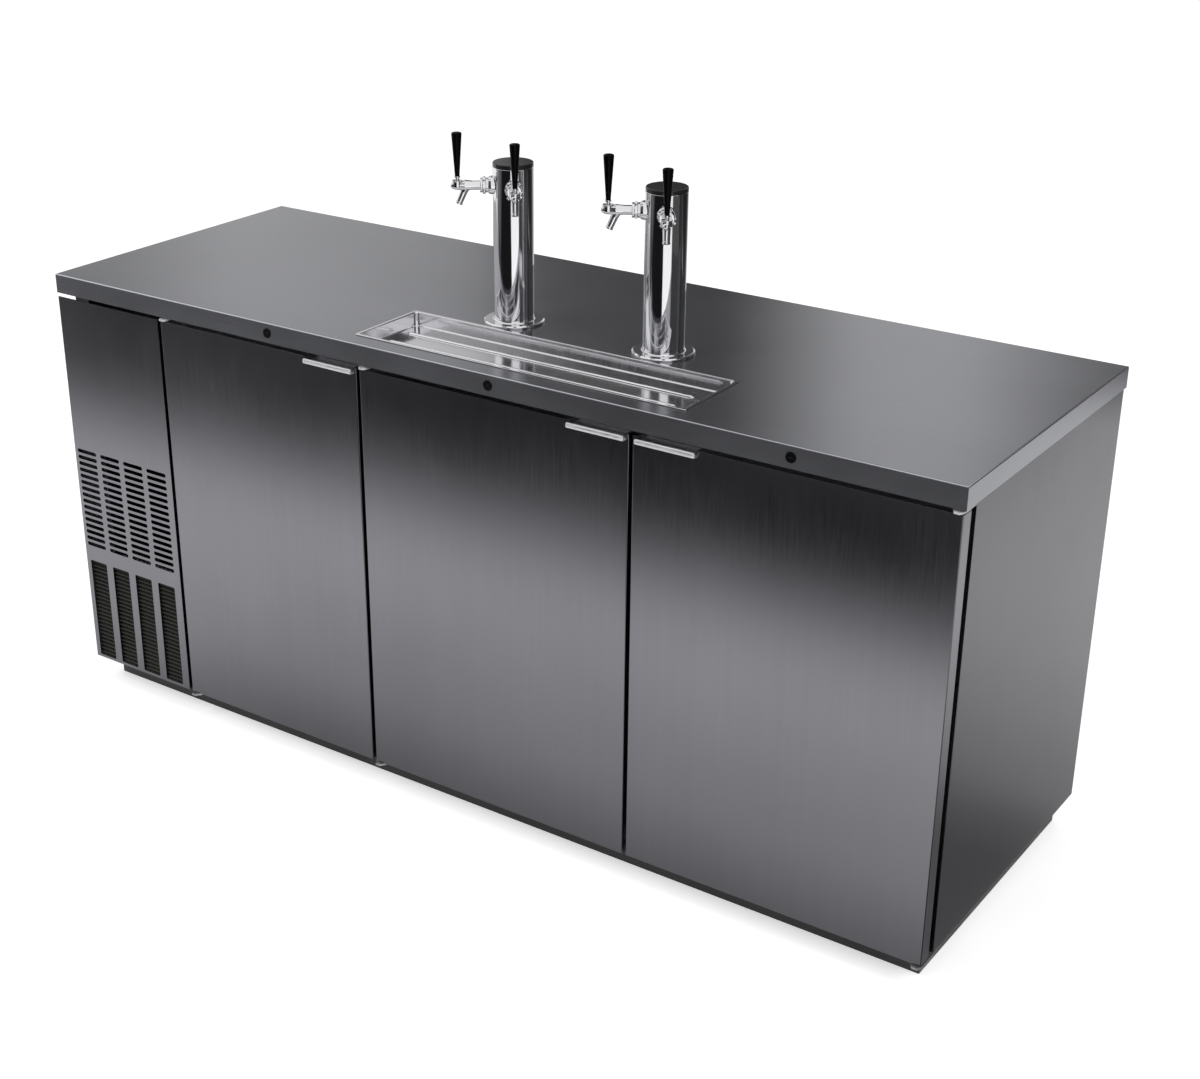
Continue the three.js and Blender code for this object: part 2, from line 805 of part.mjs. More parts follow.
function makeColumn() {
  const top = towerHeight - capHeight - clearance;
  const inner = columnRadius - columnWall;
  const cove = footRadius - footLip - columnRadius;
  const coveTop = footEdge + footRise;
  const solid = revolve([
    [inner, clearance], [footRadius, clearance], [footRadius, footEdge],
    ...arc([columnRadius + cove, coveTop], [cove, footRise], -quarterTurn, -halfTurn),
    [columnRadius, top], [inner, top], [inner, clearance],
  ], columnSides);
  return faucetTurns.reduce((pierced, turn) => {
    const angle = THREE.MathUtils.degToRad(turn);
    const reach = columnRadius + overrun;
    const end = [reach * Math.sin(angle), -reach * Math.cos(angle), faucetHeight];
    return pierced.subtract(rod([0, 0, faucetHeight], end, shankRadius + clearance, faucetSides));
  }, solid);
}

function makeCap() {
  const bottom = towerHeight - capHeight;
  const plug = columnRadius - columnWall - clearance;
  const edge = [columnRadius - capRound, towerHeight - capRound];
  return revolve([
    [0, bottom - capPlug], [plug, bottom - capPlug], [plug, bottom], [columnRadius, bottom],
    ...arc(edge, [capRound, capRound], 0, quarterTurn, smallArcSteps), [0, towerHeight],
  ], columnSides);
}

// Threaded shank with its locknut inside the tower, its collar outside and a hose tail below
function makeShank() {
  const level = (reach) => [0, -reach, faucetHeight];
  const elbow = rod(level(tailStart), level(locknutStart), tailRadius, smallSides);
  const tailEnd = [0, -tailCentre, faucetHeight - tailDrop];
  const tail = rod(tailEnd, level(tailCentre), tailRadius - clearance, smallSides);
  const stem = rod(level(locknutStart), level(shankEnd), shankRadius, faucetSides);
  const locknut = rod(level(locknutStart), level(locknutStart + locknutThickness), locknutRadius, hexSides);
  const edge = [collarRadius - collarRound, collarEnd - collarRound];
  const collar = revolveOutward([
    [0, collarInside], [collarRadius, collarInside],
    ...arc(edge, [collarRound, collarRound], 0, quarterTurn, smallArcSteps), [0, collarEnd],
  ], faucetSides).translate([0, 0, faucetHeight]);
  const column = rod([0, 0, 0], [0, 0, towerHeight], columnRadius + clearance, columnSides);
  return collar.subtract(column).add(elbow).add(tail).add(stem).add(locknut);
}

// Ring that draws the faucet's flange against the shank, with lugs for a spanner
function makeCouplingNut() {
  const start = collarEnd + clearance;
  const end = start + nutLength;
  const bore = shankRadius + clearance;
  const neck = waistRadius + clearance;
  const shell = revolveOutward([
    [bore, start], [nutRadius, start], [nutRadius, end], [neck, end],
    [neck, end - nutLip], [bore, end - nutLip], [bore, start],
  ], faucetSides);
  const middle = -(start + end) / 2;
  const lugs = Array.from({ length: lugCount }, (_, lug) => {
    const angle = (lug / lugCount) * 2 * halfTurn;
    const at = (radius) => [radius * Math.sin(angle), middle, radius * Math.cos(angle)];
    return rod(at((bore + nutRadius) / 2), at(lugReach), lugRadius, hexSides);
  });
  return wasm.Manifold.union([shell, ...lugs]).translate([0, 0, faucetHeight]);
}

// Flange held by the nut, waisted body, lever socket and spout
function makeFaucet() {
  const start = shankEnd + clearance;
  const flange = collarEnd + clearance + nutLength - nutLip - clearance;
  const shell = revolveOutward([
    [0, start], [shankRadius, start], [shankRadius, flange], [waistRadius, flange],
    [waistRadius, waistEnd], [bodyRadius, swellOffset],
    ...arc([0, leverOffset], [noseRadius, faucetReach - leverOffset], 0, quarterTurn),
  ], faucetSides).translate([0, 0, faucetHeight]);
  const lever = [0, -leverOffset, faucetHeight];
  const socket = rod(lever, [0, -leverOffset, faucetHeight + socketRise], socketRadius, faucetSides);
  const top = new THREE.Vector3(0, -spoutStart, faucetHeight);
  const tip = new THREE.Vector3(0, -spoutEnd, faucetHeight - spoutDrop);
  const along = tip.clone().sub(top).normalize();
  const spout = rod(top.toArray(), tip.toArray(), spoutRadius, faucetSides, spoutTipRadius);
  const boreStart = tip.clone().addScaledVector(along, -spoutBoreDepth);
  const boreEnd = tip.clone().addScaledVector(along, overrun);
  const spoutHole = rod(boreStart.toArray(), boreEnd.toArray(), spoutBore, smallSides);
  return shell.add(socket).add(spout).subtract(spoutHole).subtract(leverWell());
}

// Seat for the lever's ball, opening wide enough upward for the neck to tilt
function leverWell() {
  const seat = ballRadius + clearance;
  const mouth = socketRadius - socketWall;
  const rim = socketRise - pivotRise;
  return revolve([
    ...arc([0, 0], [seat, seat], -quarterTurn, 0), [mouth, rim], [mouth, rim + overrun], [0, rim + overrun],
  ], faucetSides).translate([0, -leverOffset, faucetHeight + pivotRise]);
}

// Ball, neck and ferrule below a handle that widens evenly to a nearly flat head
function makeTapHandle() {
  const foot = ferruleRise + ferruleHeight;
  const head = foot + handleLength;
  const edge = head - handleCrown - handleRound;
  const ballEnd = Math.acos(neckRadius / ballRadius);
  return revolve([
    ...arc([0, 0], [ballRadius, ballRadius], -quarterTurn, ballEnd),
    [neckRadius, ferruleRise], [ferruleRadius, ferruleRise], [ferruleRadius, foot], [handleFootRadius, foot],
    ...arc([handleHeadRadius - handleRound, edge], [handleRound, handleRound], 0, quarterTurn, smallArcSteps),
    [0, head],
  ], faucetSides).translate([0, -leverOffset, faucetHeight + pivotRise]);
}

// Half of the room that turning blades need along the fan's axis
function fanSweep(radius) {
  const half = THREE.MathUtils.degToRad(fanSpanAngle) / 2;
  return radius * Math.sin(half) * Math.sin(THREE.MathUtils.degToRad(fanPitchAngle)) + fanSheet;
}

// A fan turns about the Y axis; its hub has a blind bore at the back for the motor's shaft
function makeFan([x, y, z], radius, hubRadius) {
  const hub = rod([0, -fanHubLength / 2, 0], [0, fanHubLength / 2, 0], hubRadius, faucetSides);
  const half = THREE.MathUtils.degToRad(fanSpanAngle) / 2;
  const shape = new THREE.Shape();
  shape.absarc(0, 0, radius, quarterTurn - half, quarterTurn + half);
  shape.absarc(0, 0, hubRadius / 2, quarterTurn + half, quarterTurn - half, true);
  const plate = extrude(shape, fanSheet).translate(0, 0, -fanSheet / 2).rotateX(quarterTurn);
  const fanBlade = toSolid(plate.rotateZ(THREE.MathUtils.degToRad(fanPitchAngle)));
  const blades = Array.from({ length: fanBlades }, (_, index) => {
    return fanBlade.rotate([0, THREE.MathUtils.radToDeg((index / fanBlades) * 2 * halfTurn), 0]);
  });
  const boreStart = [0, sheet - fanHubLength / 2, 0];
  const bore = rod(boreStart, [0, fanHubLength / 2 + overrun, 0], shaftRadius + clearance, smallSides);
  return wasm.Manifold.union([hub, ...blades]).subtract(bore).translate([x, y, z]);
}

// Motor body behind a fan, with its shaft in the fan's hub
function makeMotor([x, y, z], radius, length) {
  const start = y + fanHubLength / 2 + sheet;
  const body = rod([x, start, z], [x, start + length, z], radius, faucetSides);
  const shaftStart = [x, y - fanHubLength / 2 + sheet + clearance, z];
  return body.add(rod(shaftStart, [x, start + overrun, z], shaftRadius, smallSides));
}

// A block with upright fins, left standing between grooves cut into its front
function makeCoil({ x, y, z }, fins) {
  const pitch = (x[1] - x[0]) / (fins + finShare);
  const grooves = Array.from({ length: fins }, (_, fin) => {
    const left = x[0] + (fin + finShare) * pitch;
    return box({
      x: [left, left + (1 - finShare) * pitch],
      y: [y[0] - overrun, y[0] + finDepth],
      z: grown(z, overrun),
    });
  });
  return box({ x, y, z }).subtract(wasm.Manifold.union(grooves));
}

function makeMachineBay() {
  const x = [bodyLeft + sheet + clearance, partitionLeft - clearance];
  const middle = (x[0] + x[1]) / 2;
  const trayFloor = bodyBottom + sheet;
  const front = fromFront(traySetback);
  const tray = { x, y: [front, bodyBack - sheet - clearance], z: [bodyBottom, bodyBottom + trayRim] };
  const hollow = { x: grown(x, -sheet), y: grown(tray.y, -sheet), z: [trayFloor, trayFloor + trayRim] };
  addPiece("machine_tray", box(tray).subtract(box(hollow)), zincFinish);

  const stand = trayFloor + clearance;
  const coilFront = front + sheet + clearance;
  const coil = {
    x: around(middle, coilWidth),
    y: [coilFront, coilFront + coilDepth],
    z: [stand, stand + coilHeight],
  };
  addPiece("condenser_coil", makeCoil(coil, coilFins), zincFinish);

  const centre = [middle, coil.y[1] + fanGap + fanSweep(fanRadius), stand + coilHeight / 2];
  addPiece("condenser_fan", makeFan(centre, fanRadius, fanHubRadius), zincFinish);
  const motorMiddle = centre[1] + fanHubLength / 2 + sheet + motorLength / 2;
  const post = box({
    x: around(middle, postWidth),
    y: around(motorMiddle, postWidth),
    z: [stand, centre[2]],
  });
  addPiece("condenser_fan_motor", makeMotor(centre, motorRadius, motorLength).add(post), blackFinish);
  addPiece("compressor", makeCompressor(middle, stand), blackFinish);
}

// A domed pot on a square foot plate
function makeCompressor(x, stand) {
  const y = fromFront(compressorSetback);
  const dome = compressorRadius / 2;
  const low = [compressorRadius - dome, stand + dome];
  const high = [compressorRadius - dome, stand + compressorHeight - dome];
  const pot = revolve([
    [0, stand], ...arc(low, [dome, dome], -quarterTurn, 0), ...arc(high, [dome, dome], 0, quarterTurn),
    [0, stand + compressorHeight],
  ], faucetSides).translate([x, y, 0]);
  const plate = { x: around(x, compressorFoot), y: around(y, compressorFoot), z: [stand, stand + footPlate] };
  return pot.add(box(plate));
}

function makeEvaporator() {
  const back = bodyBack - wallThickness - clearance;
  const top = bodyTop - evaporatorDrop;
  const shell = {
    x: [fromLeft(evaporatorLeft), fromLeft(evaporatorLeft + evaporatorWidth)],
    y: [back - evaporatorDepth, back],
    z: [top - evaporatorHeight, top],
  };
  const inside = {
    x: grown(shell.x, -sheet),
    y: [shell.y[0] + sheet, back + overrun],
    z: grown(shell.z, -sheet),
  };
  const middle = [(shell.x[0] + shell.x[1]) / 2, (shell.z[0] + shell.z[1]) / 2];
  const openingStart = [middle[0], shell.y[0] - overrun, middle[1]];
  const openingEnd = [middle[0], inside.y[0] + overrun, middle[1]];
  const opening = rod(openingStart, openingEnd, evaporatorOpening, columnSides);
  addPiece("evaporator_housing", box(shell).subtract(box(inside)).subtract(opening), zincFinish);

  const tall = grown(inside.z, -clearance);
  const coil = { x: grown(inside.x, -clearance), y: [back - evaporatorCoilDepth, back], z: tall };
  addPiece("evaporator_coil", makeCoil(coil, evaporatorFins), zincFinish);

  const centre = [middle[0], inside.y[0] + clearance + fanSweep(evaporatorFanRadius), middle[1]];
  addPiece("evaporator_fan", makeFan(centre, evaporatorFanRadius, evaporatorHubRadius), zincFinish);
  const strapBack = centre[1] + fanHubLength / 2 + sheet + evaporatorMotorLength;
  const strap = box({ x: around(middle[0], strapWidth), y: [strapBack - sheet, strapBack], z: tall });
  const motor = makeMotor(centre, evaporatorMotorRadius, evaporatorMotorLength);
  addPiece("evaporator_fan_motor", motor.add(strap), blackFinish);
}

addPiece("base_frame", makeBaseFrame(), blackFinish);
addPiece("left_side_sheet", makeLeftSide(), steelFinish);
makeBody();
makeMachineBay();
makeEvaporator();
addPiece("counter_core", makeCounterCore(), linerFinish);
addPiece("countertop", makeCountertop(), steelFinish);
addPiece("drip_pan", makeDripPan(), polishedFinish);
addPiece("grille_panel", makeGrille(), steelFinish);
for (const door of doors) {
  addPiece(`${door.name}_door`, makeDoorPanel(door), steelFinish);
  addPiece(`${door.name}_door_gasket`, makeGasket(door), rubberFinish);
  addPiece(`${door.name}_door_pull`, makePull(door), polishedFinish);
  addPiece(`${door.name}_door_upper_hinge`, makeBracket(door, true), steelFinish);
  addPiece(`${door.name}_door_lower_hinge`, makeBracket(door, false), steelFinish);
  addPiece(`${door.name}_door_lock`, makeLock(door), blackFinish);
}
for (const tower of towerPlaces) {
  makeTower(tower);
}

export default model;
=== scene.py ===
import json
import math

import bmesh
import bpy
from mathutils import Matrix, Vector

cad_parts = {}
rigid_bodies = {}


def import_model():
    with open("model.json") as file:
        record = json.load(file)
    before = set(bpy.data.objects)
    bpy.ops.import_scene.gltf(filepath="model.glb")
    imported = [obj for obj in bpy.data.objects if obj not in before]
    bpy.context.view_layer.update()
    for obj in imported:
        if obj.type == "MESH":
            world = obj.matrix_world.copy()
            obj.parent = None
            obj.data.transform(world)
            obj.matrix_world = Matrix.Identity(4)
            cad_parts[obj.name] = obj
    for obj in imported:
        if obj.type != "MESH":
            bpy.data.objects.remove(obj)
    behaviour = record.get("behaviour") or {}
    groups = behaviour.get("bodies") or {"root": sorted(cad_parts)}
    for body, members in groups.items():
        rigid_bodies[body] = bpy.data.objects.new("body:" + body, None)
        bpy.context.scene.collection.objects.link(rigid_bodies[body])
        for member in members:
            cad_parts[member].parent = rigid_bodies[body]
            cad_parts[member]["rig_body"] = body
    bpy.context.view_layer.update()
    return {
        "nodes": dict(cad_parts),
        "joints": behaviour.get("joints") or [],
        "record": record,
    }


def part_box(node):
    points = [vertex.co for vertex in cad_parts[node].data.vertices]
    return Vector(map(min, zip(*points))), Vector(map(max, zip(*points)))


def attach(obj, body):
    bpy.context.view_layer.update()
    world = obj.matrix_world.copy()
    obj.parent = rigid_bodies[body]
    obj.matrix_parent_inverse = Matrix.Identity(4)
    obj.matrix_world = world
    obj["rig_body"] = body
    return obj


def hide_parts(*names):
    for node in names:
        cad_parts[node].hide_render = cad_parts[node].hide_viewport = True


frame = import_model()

nodes = frame["nodes"]
joints = {joint["name"]: joint for joint in frame["joints"]}

# Camera, fitted to the corners of the object in the photograph
IMAGE_WIDTH = 1200
IMAGE_HEIGHT = 1079
FOCAL_PIXELS = 1926.83
AXIS_PIXEL = (543.70, 558.19)
CAMERA_PLACE = (2.0416, -2.9076, 2.0468)
CAMERA_AZIMUTH = 35.3127
CAMERA_ELEVATION = 24.4692
CAMERA_ROLL = -0.142
SENSOR_WIDTH = 36
VIEW_DISTANCE = 100

DOORS = ("left", "middle", "right")
SIDES = ("left", "right")

# Widths of roundings that several pieces share
BLADE_ROUND = 0.0002
HAIR_ROUND = 0.0004
THIN_ROUND = 0.0005
FINE_ROUND = 0.0006
WALL_ROUND = 0.001
SOFT_ROUND = 0.0012

# How finely curves are drawn, and what counts as an edge
EDGE_STEPS = 3
ROUND_STEPS = 6
FINE_SIDES = 96
PART_SIDES = 48
SMALL_SIDES = 24
SHARP_ANGLE = math.radians(35)
BEVEL_ANGLE = math.radians(50)
FLAT_ANGLE = math.radians(1)
MERGE_DISTANCE = 0.00001
ON_AXIS = 1e-7


# Materials

WHITE = (1, 1, 1, 1)

# Sockets of Blender's Mix node when it mixes colours
MIX_FACTOR = 0
MIX_FIRST = 6
MIX_SECOND = 7
MIX_RESULT = 2


class Surface:
    """A material under construction, whose textures run in the object's own metres."""

    def __init__(self, name):
        self.material = bpy.data.materials.new(name)
        self.material.use_nodes = True
        self.tree = self.material.node_tree
        self.shader = self.tree.nodes["Principled BSDF"]
        coordinates = self.tree.nodes.new("ShaderNodeTexCoord")
        self.place = coordinates.outputs["Object"]
        self.facing = coordinates.outputs["Normal"]

    def node(self, kind, inputs=None, **settings):
        made = self.tree.nodes.new(kind)
        for key, value in settings.items():
            setattr(made, key, value)
        for key, value in (inputs or {}).items():
            self.feed(made.inputs[key], value)
        return made

    def feed(self, socket, value):
        if isinstance(value, bpy.types.NodeSocket):
            self.tree.links.new(value, socket)
        else:
            socket.default_value = value

    def set(self, **values):
        for key, value in values.items():
            self.feed(self.shader.inputs[key.replace("_", " ")], value)

    def show(self, output):
        """Makes output the surface in place of the shader."""
        self.tree.links.new(output, self.tree.nodes["Material Output"].inputs["Surface"])

    def noise(self, scale, detail, stretch=(1, 1, 1), roughness=0.5):
        mapping = self.node("ShaderNodeMapping", {"Vector": self.place, "Scale": stretch})
        texture = self.node("ShaderNodeTexNoise", {
            "Vector": mapping.outputs[0], "Scale": scale, "Detail": detail, "Roughness": roughness})
        return texture.outputs["Fac"]

    def span(self, factor, low, high, start=0.3, end=0.7):
        """Runs from low to high while factor runs from start to end. Most noise lies from 0.3 to 0.7."""
        mapped = self.node("ShaderNodeMapRange", {
            "Value": factor, "From Min": start, "From Max": end, "To Min": low, "To Max": high})
        return mapped.outputs[0]

    def combine(self, operation, first, second):
        return self.node("ShaderNodeMath", {0: first, 1: second}, operation=operation).outputs[0]

    def mix(self, factor, first, second, blend="MIX"):
        mixed = self.node("ShaderNodeMix", data_type="RGBA", blend_type=blend)
        self.feed(mixed.inputs[MIX_FACTOR], factor)
        self.feed(mixed.inputs[MIX_FIRST], first)
        self.feed(mixed.inputs[MIX_SECOND], second)
        return mixed.outputs[MIX_RESULT]

    def clouded(self, factor, base, darkest, lightest):
        """The base colour, which noise shades between two shares of itself."""
        return self.mix(self.span(factor, 0, 1), shade(base, darkest), shade(base, lightest))

    def rounding(self):
        """1 on the roundings between faces that lie along the object's axes, where a highlight is painted."""
        size = self.node("ShaderNodeVectorMath", {0: self.facing}, operation="ABSOLUTE").outputs[0]
        parts = self.node("ShaderNodeSeparateXYZ", {"Vector": size}).outputs
        larger = self.combine("MAXIMUM", parts[0], parts[1])
        largest = self.combine("MAXIMUM", larger, parts[2])
        return self.span(largest, 1, 0, start=0.93, end=0.995)

    def bump(self, height, strength, distance):
        bumped = self.node("ShaderNodeBump", {"Height": height, "Strength": strength, "Distance": distance})
        return bumped.outputs[0]


def shade(base, factor):
    return tuple(min(1, value * factor) for value in base[:3]) + (1,)


GRAIN_STRETCH = 0.008
GRAIN_DEPTH = 0.03
GRAIN_SPREAD = 0.04
CLOUD_SPREAD = 0.02
# Added to a cross product, so that it isn't zero where a face looks along the grain
NEVER_ZERO = (0.011, 0.017, 0.013)


def brushed(name, base, roughness, run, patch=0.04, metallic=1.0, edge_light=1.3):
    """Sheet steel with a fine grain along run, one of the object's axes. Highlights are drawn out square to
    the grain, on each face in its own plane. The roundings get a painted highlight, the last argument's share
    of the base; a share below 1 paints shade there instead."""
    made = Surface(name)
    stretch = tuple(GRAIN_STRETCH if along else 1 for along in run)
    fine = made.noise(1400, 3, stretch, roughness=0.7)
    broad = made.noise(90, 2, stretch, roughness=0.6)
    cloud = made.noise(3.1, 4)
    tone = made.clouded(cloud, base, 1 - patch, 1 + patch)
    lines = made.clouded(fine, WHITE, 1 - GRAIN_DEPTH, 1)
    soft = made.clouded(broad, WHITE, 1 - GRAIN_DEPTH, 1)
    toned = made.mix(1, made.mix(1, tone, lines, "MULTIPLY"), soft, "MULTIPLY")
    rough = made.combine("ADD", made.span(fine, roughness - GRAIN_SPREAD, roughness + GRAIN_SPREAD),
                         made.span(cloud, -CLOUD_SPREAD, CLOUD_SPREAD))
    # Painted highlight on the roundings; a share below 1 makes it painted shade
    edge_lit = made.mix(made.rounding(), toned, shade(base, edge_light))
    across = made.node("ShaderNodeVectorMath", {0: made.facing, 1: run}, operation="CROSS_PRODUCT")
    sure = made.node("ShaderNodeVectorMath", {0: across.outputs[0], 1: NEVER_ZERO}, operation="ADD")
    tangent = made.node("ShaderNodeVectorTransform", {"Vector": sure.outputs[0]}, vector_type="VECTOR",
                        convert_from="OBJECT", convert_to="WORLD")
    made.set(Base_Color=edge_lit, Metallic=metallic, Roughness=rough, Anisotropic=0.7,
             Tangent=tangent.outputs[0], Normal=made.bump(fine, strength=0.15, distance=0.00005))
    return made.material


def polished(name, base, roughness):
    """Bright metal with faint wipe marks."""
    made = Surface(name)
    cloud = made.noise(17, 4)
    marks = made.noise(160, 3, stretch=(1, 1, 0.2))
    rough = made.combine("ADD", made.span(cloud, roughness * 0.7, roughness * 1.3),
                         made.span(marks, 0, roughness * 0.6))
    made.set(Base_Color=made.clouded(cloud, base, 0.96, 1), Metallic=1.0, Roughness=rough,
             Normal=made.bump(made.noise(40, 2), strength=0.1, distance=0.00003))
    return made.material


def painted(name, base, roughness):
    made = Surface(name)
    cloud = made.noise(9, 4)
    made.set(Base_Color=made.clouded(cloud, base, 0.8, 1.25),
             Roughness=made.span(cloud, roughness - 0.06, roughness + 0.06),
             Normal=made.bump(made.noise(900, 2), strength=0.3, distance=0.00008))
    return made.material


def gloss_black(name, base, roughness):
    made = Surface(name)
    cloud = made.noise(30, 3)
    made.set(Base_Color=made.clouded(cloud, base, 0.8, 1.3), Specular_IOR_Level=0.05,
             Roughness=made.span(cloud, roughness * 0.8, roughness * 1.3),
             Normal=made.bump(made.noise(300, 2), strength=0.1, distance=0.00003))
    return made.material


def rubber(name, base):
    made = Surface(name)
    dust = made.noise(60, 5)
    made.set(Base_Color=made.clouded(dust, base, 0.8, 1.5), Roughness=made.span(dust, 0.55, 0.75),
             Normal=made.bump(made.noise(700, 3), strength=0.3, distance=0.0001))
    return made.material


def galvanized(name, base):
    """Zinc with its flakes, each with a tone and a gloss of its own."""
    made = Surface(name)
    flakes = made.node("ShaderNodeTexVoronoi", {"Vector": made.place, "Scale": 70}).outputs["Color"]
    flake = made.node("ShaderNodeSeparateColor", {"Color": flakes}).outputs[0]
    tone = made.mix(made.span(flake, 0, 1, start=0, end=1), shade(base, 0.82), shade(base, 1.15))
    dulled = made.mix(made.span(made.noise(5, 4), 0, 0.3), tone, shade(base, 0.8))
    made.set(Base_Color=dulled, Metallic=0.85, Roughness=made.span(flake, 0.35, 0.55, start=0, end=1),
             Normal=made.bump(flake, strength=0.15, distance=0.0001))
    return made.material


def pale_liner(name, base):
    made = Surface(name)
    pebble = made.noise(420, 3)
    made.set(Base_Color=made.clouded(made.noise(4, 4), base, 0.93, 1.04),
             Roughness=made.span(pebble, 0.35, 0.5),
             Normal=made.bump(pebble, strength=0.2, distance=0.0001))
    return made.material


ALONG_X = (1, 0, 0)
ALONG_Z = (0, 0, 1)
STEEL = (0.214, 0.211, 0.230, 1)
# A darker copy of the panel steel for the side walls and the doors' sides: painted shade on faces turned
# sideways
SHADED_SIDE_STEEL = (0.132, 0.130, 0.145, 1)
COUNTER = (0.284, 0.288, 0.312, 1)

M = {
    # The panel's roundings are painted darker, as painted shade along the doors' edges
    "panel": brushed("panel_steel", STEEL, 0.22, ALONG_Z, edge_light=0.5),
    "side": brushed("side_steel_painted_shade", SHADED_SIDE_STEEL, 0.22, ALONG_Z),
    # The counter's roundings get a strong painted highlight along its edges
    "counter": brushed("counter_steel", COUNTER, 0.22, ALONG_X, patch=0.07, metallic=0.91, edge_light=1.9),
    "polished": polished("polished_steel", (0.80, 0.80, 0.82, 1), 0.10),
    "satin": polished("satin_steel", (0.96, 0.96, 0.97, 1), 0.45),
    "chrome": polished("chrome", (0.76, 0.76, 0.78, 1), 0.05),
    "handle": gloss_black("handle_black", (0.002, 0.002, 0.002, 1), 0.25),
    "base": painted("base_black", (0.006, 0.006, 0.007, 1), 0.5),
    "enamel": painted("black_enamel", (0.012, 0.012, 0.013, 1), 0.22),
    # Near-black louvres: partly their own dark finish, partly painted shade for the dark inside the windows
    "louvre": painted("louvre_painted_shade", (0.018, 0.018, 0.016, 1), 0.45),
    "lock": gloss_black("lock_black", (0.004, 0.004, 0.004, 1), 0.35),
    # Near-black for the keyway and the strainer's holes: painted shade inside them
    "keyway": painted("keyway_painted_shade", (0.003, 0.003, 0.003, 1), 0.6),
    "rubber": rubber("gasket_rubber", (0.008, 0.008, 0.009, 1)),
    "zinc": galvanized("galvanized_sheet", (0.50, 0.51, 0.52, 1)),
    "liner": pale_liner("insulated_liner", (0.56, 0.57, 0.58, 1)),
    "fins": brushed("coil_fins", (0.30, 0.30, 0.29, 1), 0.4, ALONG_Z),
    "fan": brushed("fan_metal", (0.40, 0.40, 0.41, 1), 0.4, ALONG_X),
}


# Mesh helpers

def finish_mesh(name, mesh, material, smooth=True):
    mesh.materials.clear()
    if material:
        mesh.materials.append(material)
    mesh.update()
    if smooth:
        mesh.shade_smooth()
        mesh.set_sharp_from_angle(angle=SHARP_ANGLE)
    made = bpy.data.objects.new(name, mesh)
    bpy.context.scene.collection.objects.link(made)
    if smooth:
        weigh_normals(made)
    return made


def evaluated_mesh(item):
    """A new mesh of what an object looks like with its modifiers, or of a curve."""
    return bpy.data.meshes.new_from_object(item.evaluated_get(bpy.context.evaluated_depsgraph_get()))


def weigh_normals(piece):
    """Lets each large face set the shading along its edges, so that it stays flat beside a rounding."""
    weights = piece.modifiers.new("weights", "WEIGHTED_NORMAL")
    weights.keep_sharp = True
    weights.weight = 100
    name, first = piece.data.name, piece.data
    piece.data = evaluated_mesh(piece)
    piece.modifiers.clear()
    bpy.data.meshes.remove(first)
    piece.data.name = name


def from_bmesh(name, shape, material, smooth=True):
    bmesh.ops.recalc_face_normals(shape, faces=shape.faces)
    mesh = bpy.data.meshes.new(name)
    shape.to_mesh(mesh)
    shape.free()
    return finish_mesh(name, mesh, material, smooth)


def place(piece, body, slot, *replaced):
    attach(piece, body)
    if replaced:
        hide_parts(*replaced)


def bevelled(shape, width, steps):
    """Rounds the sharp edges of a bmesh in place."""
    edges = [edge for edge in shape.edges
             if len(edge.link_faces) == 2 and edge.calc_face_angle(0) > BEVEL_ANGLE]
    if width > 0 and edges:
        bmesh.ops.bevel(shape, geom=edges, offset=width, offset_type="OFFSET", segments=steps, profile=0.5,
                        affect="EDGES", clamp_overlap=True)
    return shape


def add_box(shape, low, high):
    made = bmesh.ops.create_cube(shape, size=1)["verts"]
    size = Vector(high) - Vector(low)
    middle = (Vector(high) + Vector(low)) / 2
    bmesh.ops.scale(shape, vec=size, verts=made)
    bmesh.ops.translate(shape, vec=middle, verts=made)


def rounded_box(name, low, high, radius, material, steps=EDGE_STEPS):
    shape = bmesh.new()
    add_box(shape, low, high)
    return from_bmesh(name, bevelled(shape, radius, steps), material)


def dressed(node, material, width, trims=()):
    """A copy of a CAD node with its flat faces joined up and its sharp edges rounded, which replaces it.
    Each trim is a material and a test of the faces that get it."""
    shape = bmesh.new()
    shape.from_mesh(nodes[node].data)
    bmesh.ops.remove_doubles(shape, verts=shape.verts, dist=MERGE_DISTANCE)
    bmesh.ops.dissolve_limit(shape, angle_limit=FLAT_ANGLE, verts=shape.verts, edges=shape.edges)
    bevelled(shape, width, EDGE_STEPS)
    shape.normal_update()
    for face in shape.faces:
        face.material_index = next((index for index, (_, fits) in enumerate(trims, 1) if fits(face)), 0)
    piece = from_bmesh(f"{node}_dressed", shape, material)
    for trim, _ in trims:
        piece.data.materials.append(trim)
    slot = next(row["material_slot"] for row in frame["record"]["subparts"] if row["node"] == node)
    place(piece, nodes[node]["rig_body"], slot, node)


# The largest share of a side that the rounding of a corner takes
REACH_SHARE = 0.49


def arc(centre, radii, start, end, steps):
    """Points of an arc of an ellipse, which starts and ends at angles given in half turns."""
    turns = [math.pi * (start + (end - start) * step / steps) for step in range(steps + 1)]
    return [(centre[0] + radii[0] * math.cos(turn), centre[1] + radii[1] * math.sin(turn)) for turn in turns]


def fillet(points):
    """A profile of (radius, height, rounding) points becomes a smooth list of (radius, height) points."""
    result = []
    last = len(points) - 1
    for index, (x, y, rounding) in enumerate(points):
        if rounding <= 0 or index in (0, last):
            result.append((x, y))
            continue
        corner = Vector((x, y))
        before = Vector(points[index - 1][:2]) - corner
        after = Vector(points[index + 1][:2]) - corner
        turn = before.angle(after)
        reach = min(rounding / math.tan(turn / 2), before.length * REACH_SHARE, after.length * REACH_SHARE)
        start = corner + before.normalized() * reach
        end = corner + after.normalized() * reach
        for step in range(ROUND_STEPS + 1):
            share = step / ROUND_STEPS
            point = start * (1 - share) ** 2 + corner * (2 * share * (1 - share)) + end * share ** 2
            result.append((point.x, point.y))
    return result


def raised(section, level):
    return [(radius, level + height, rounding) for radius, height, rounding in section]


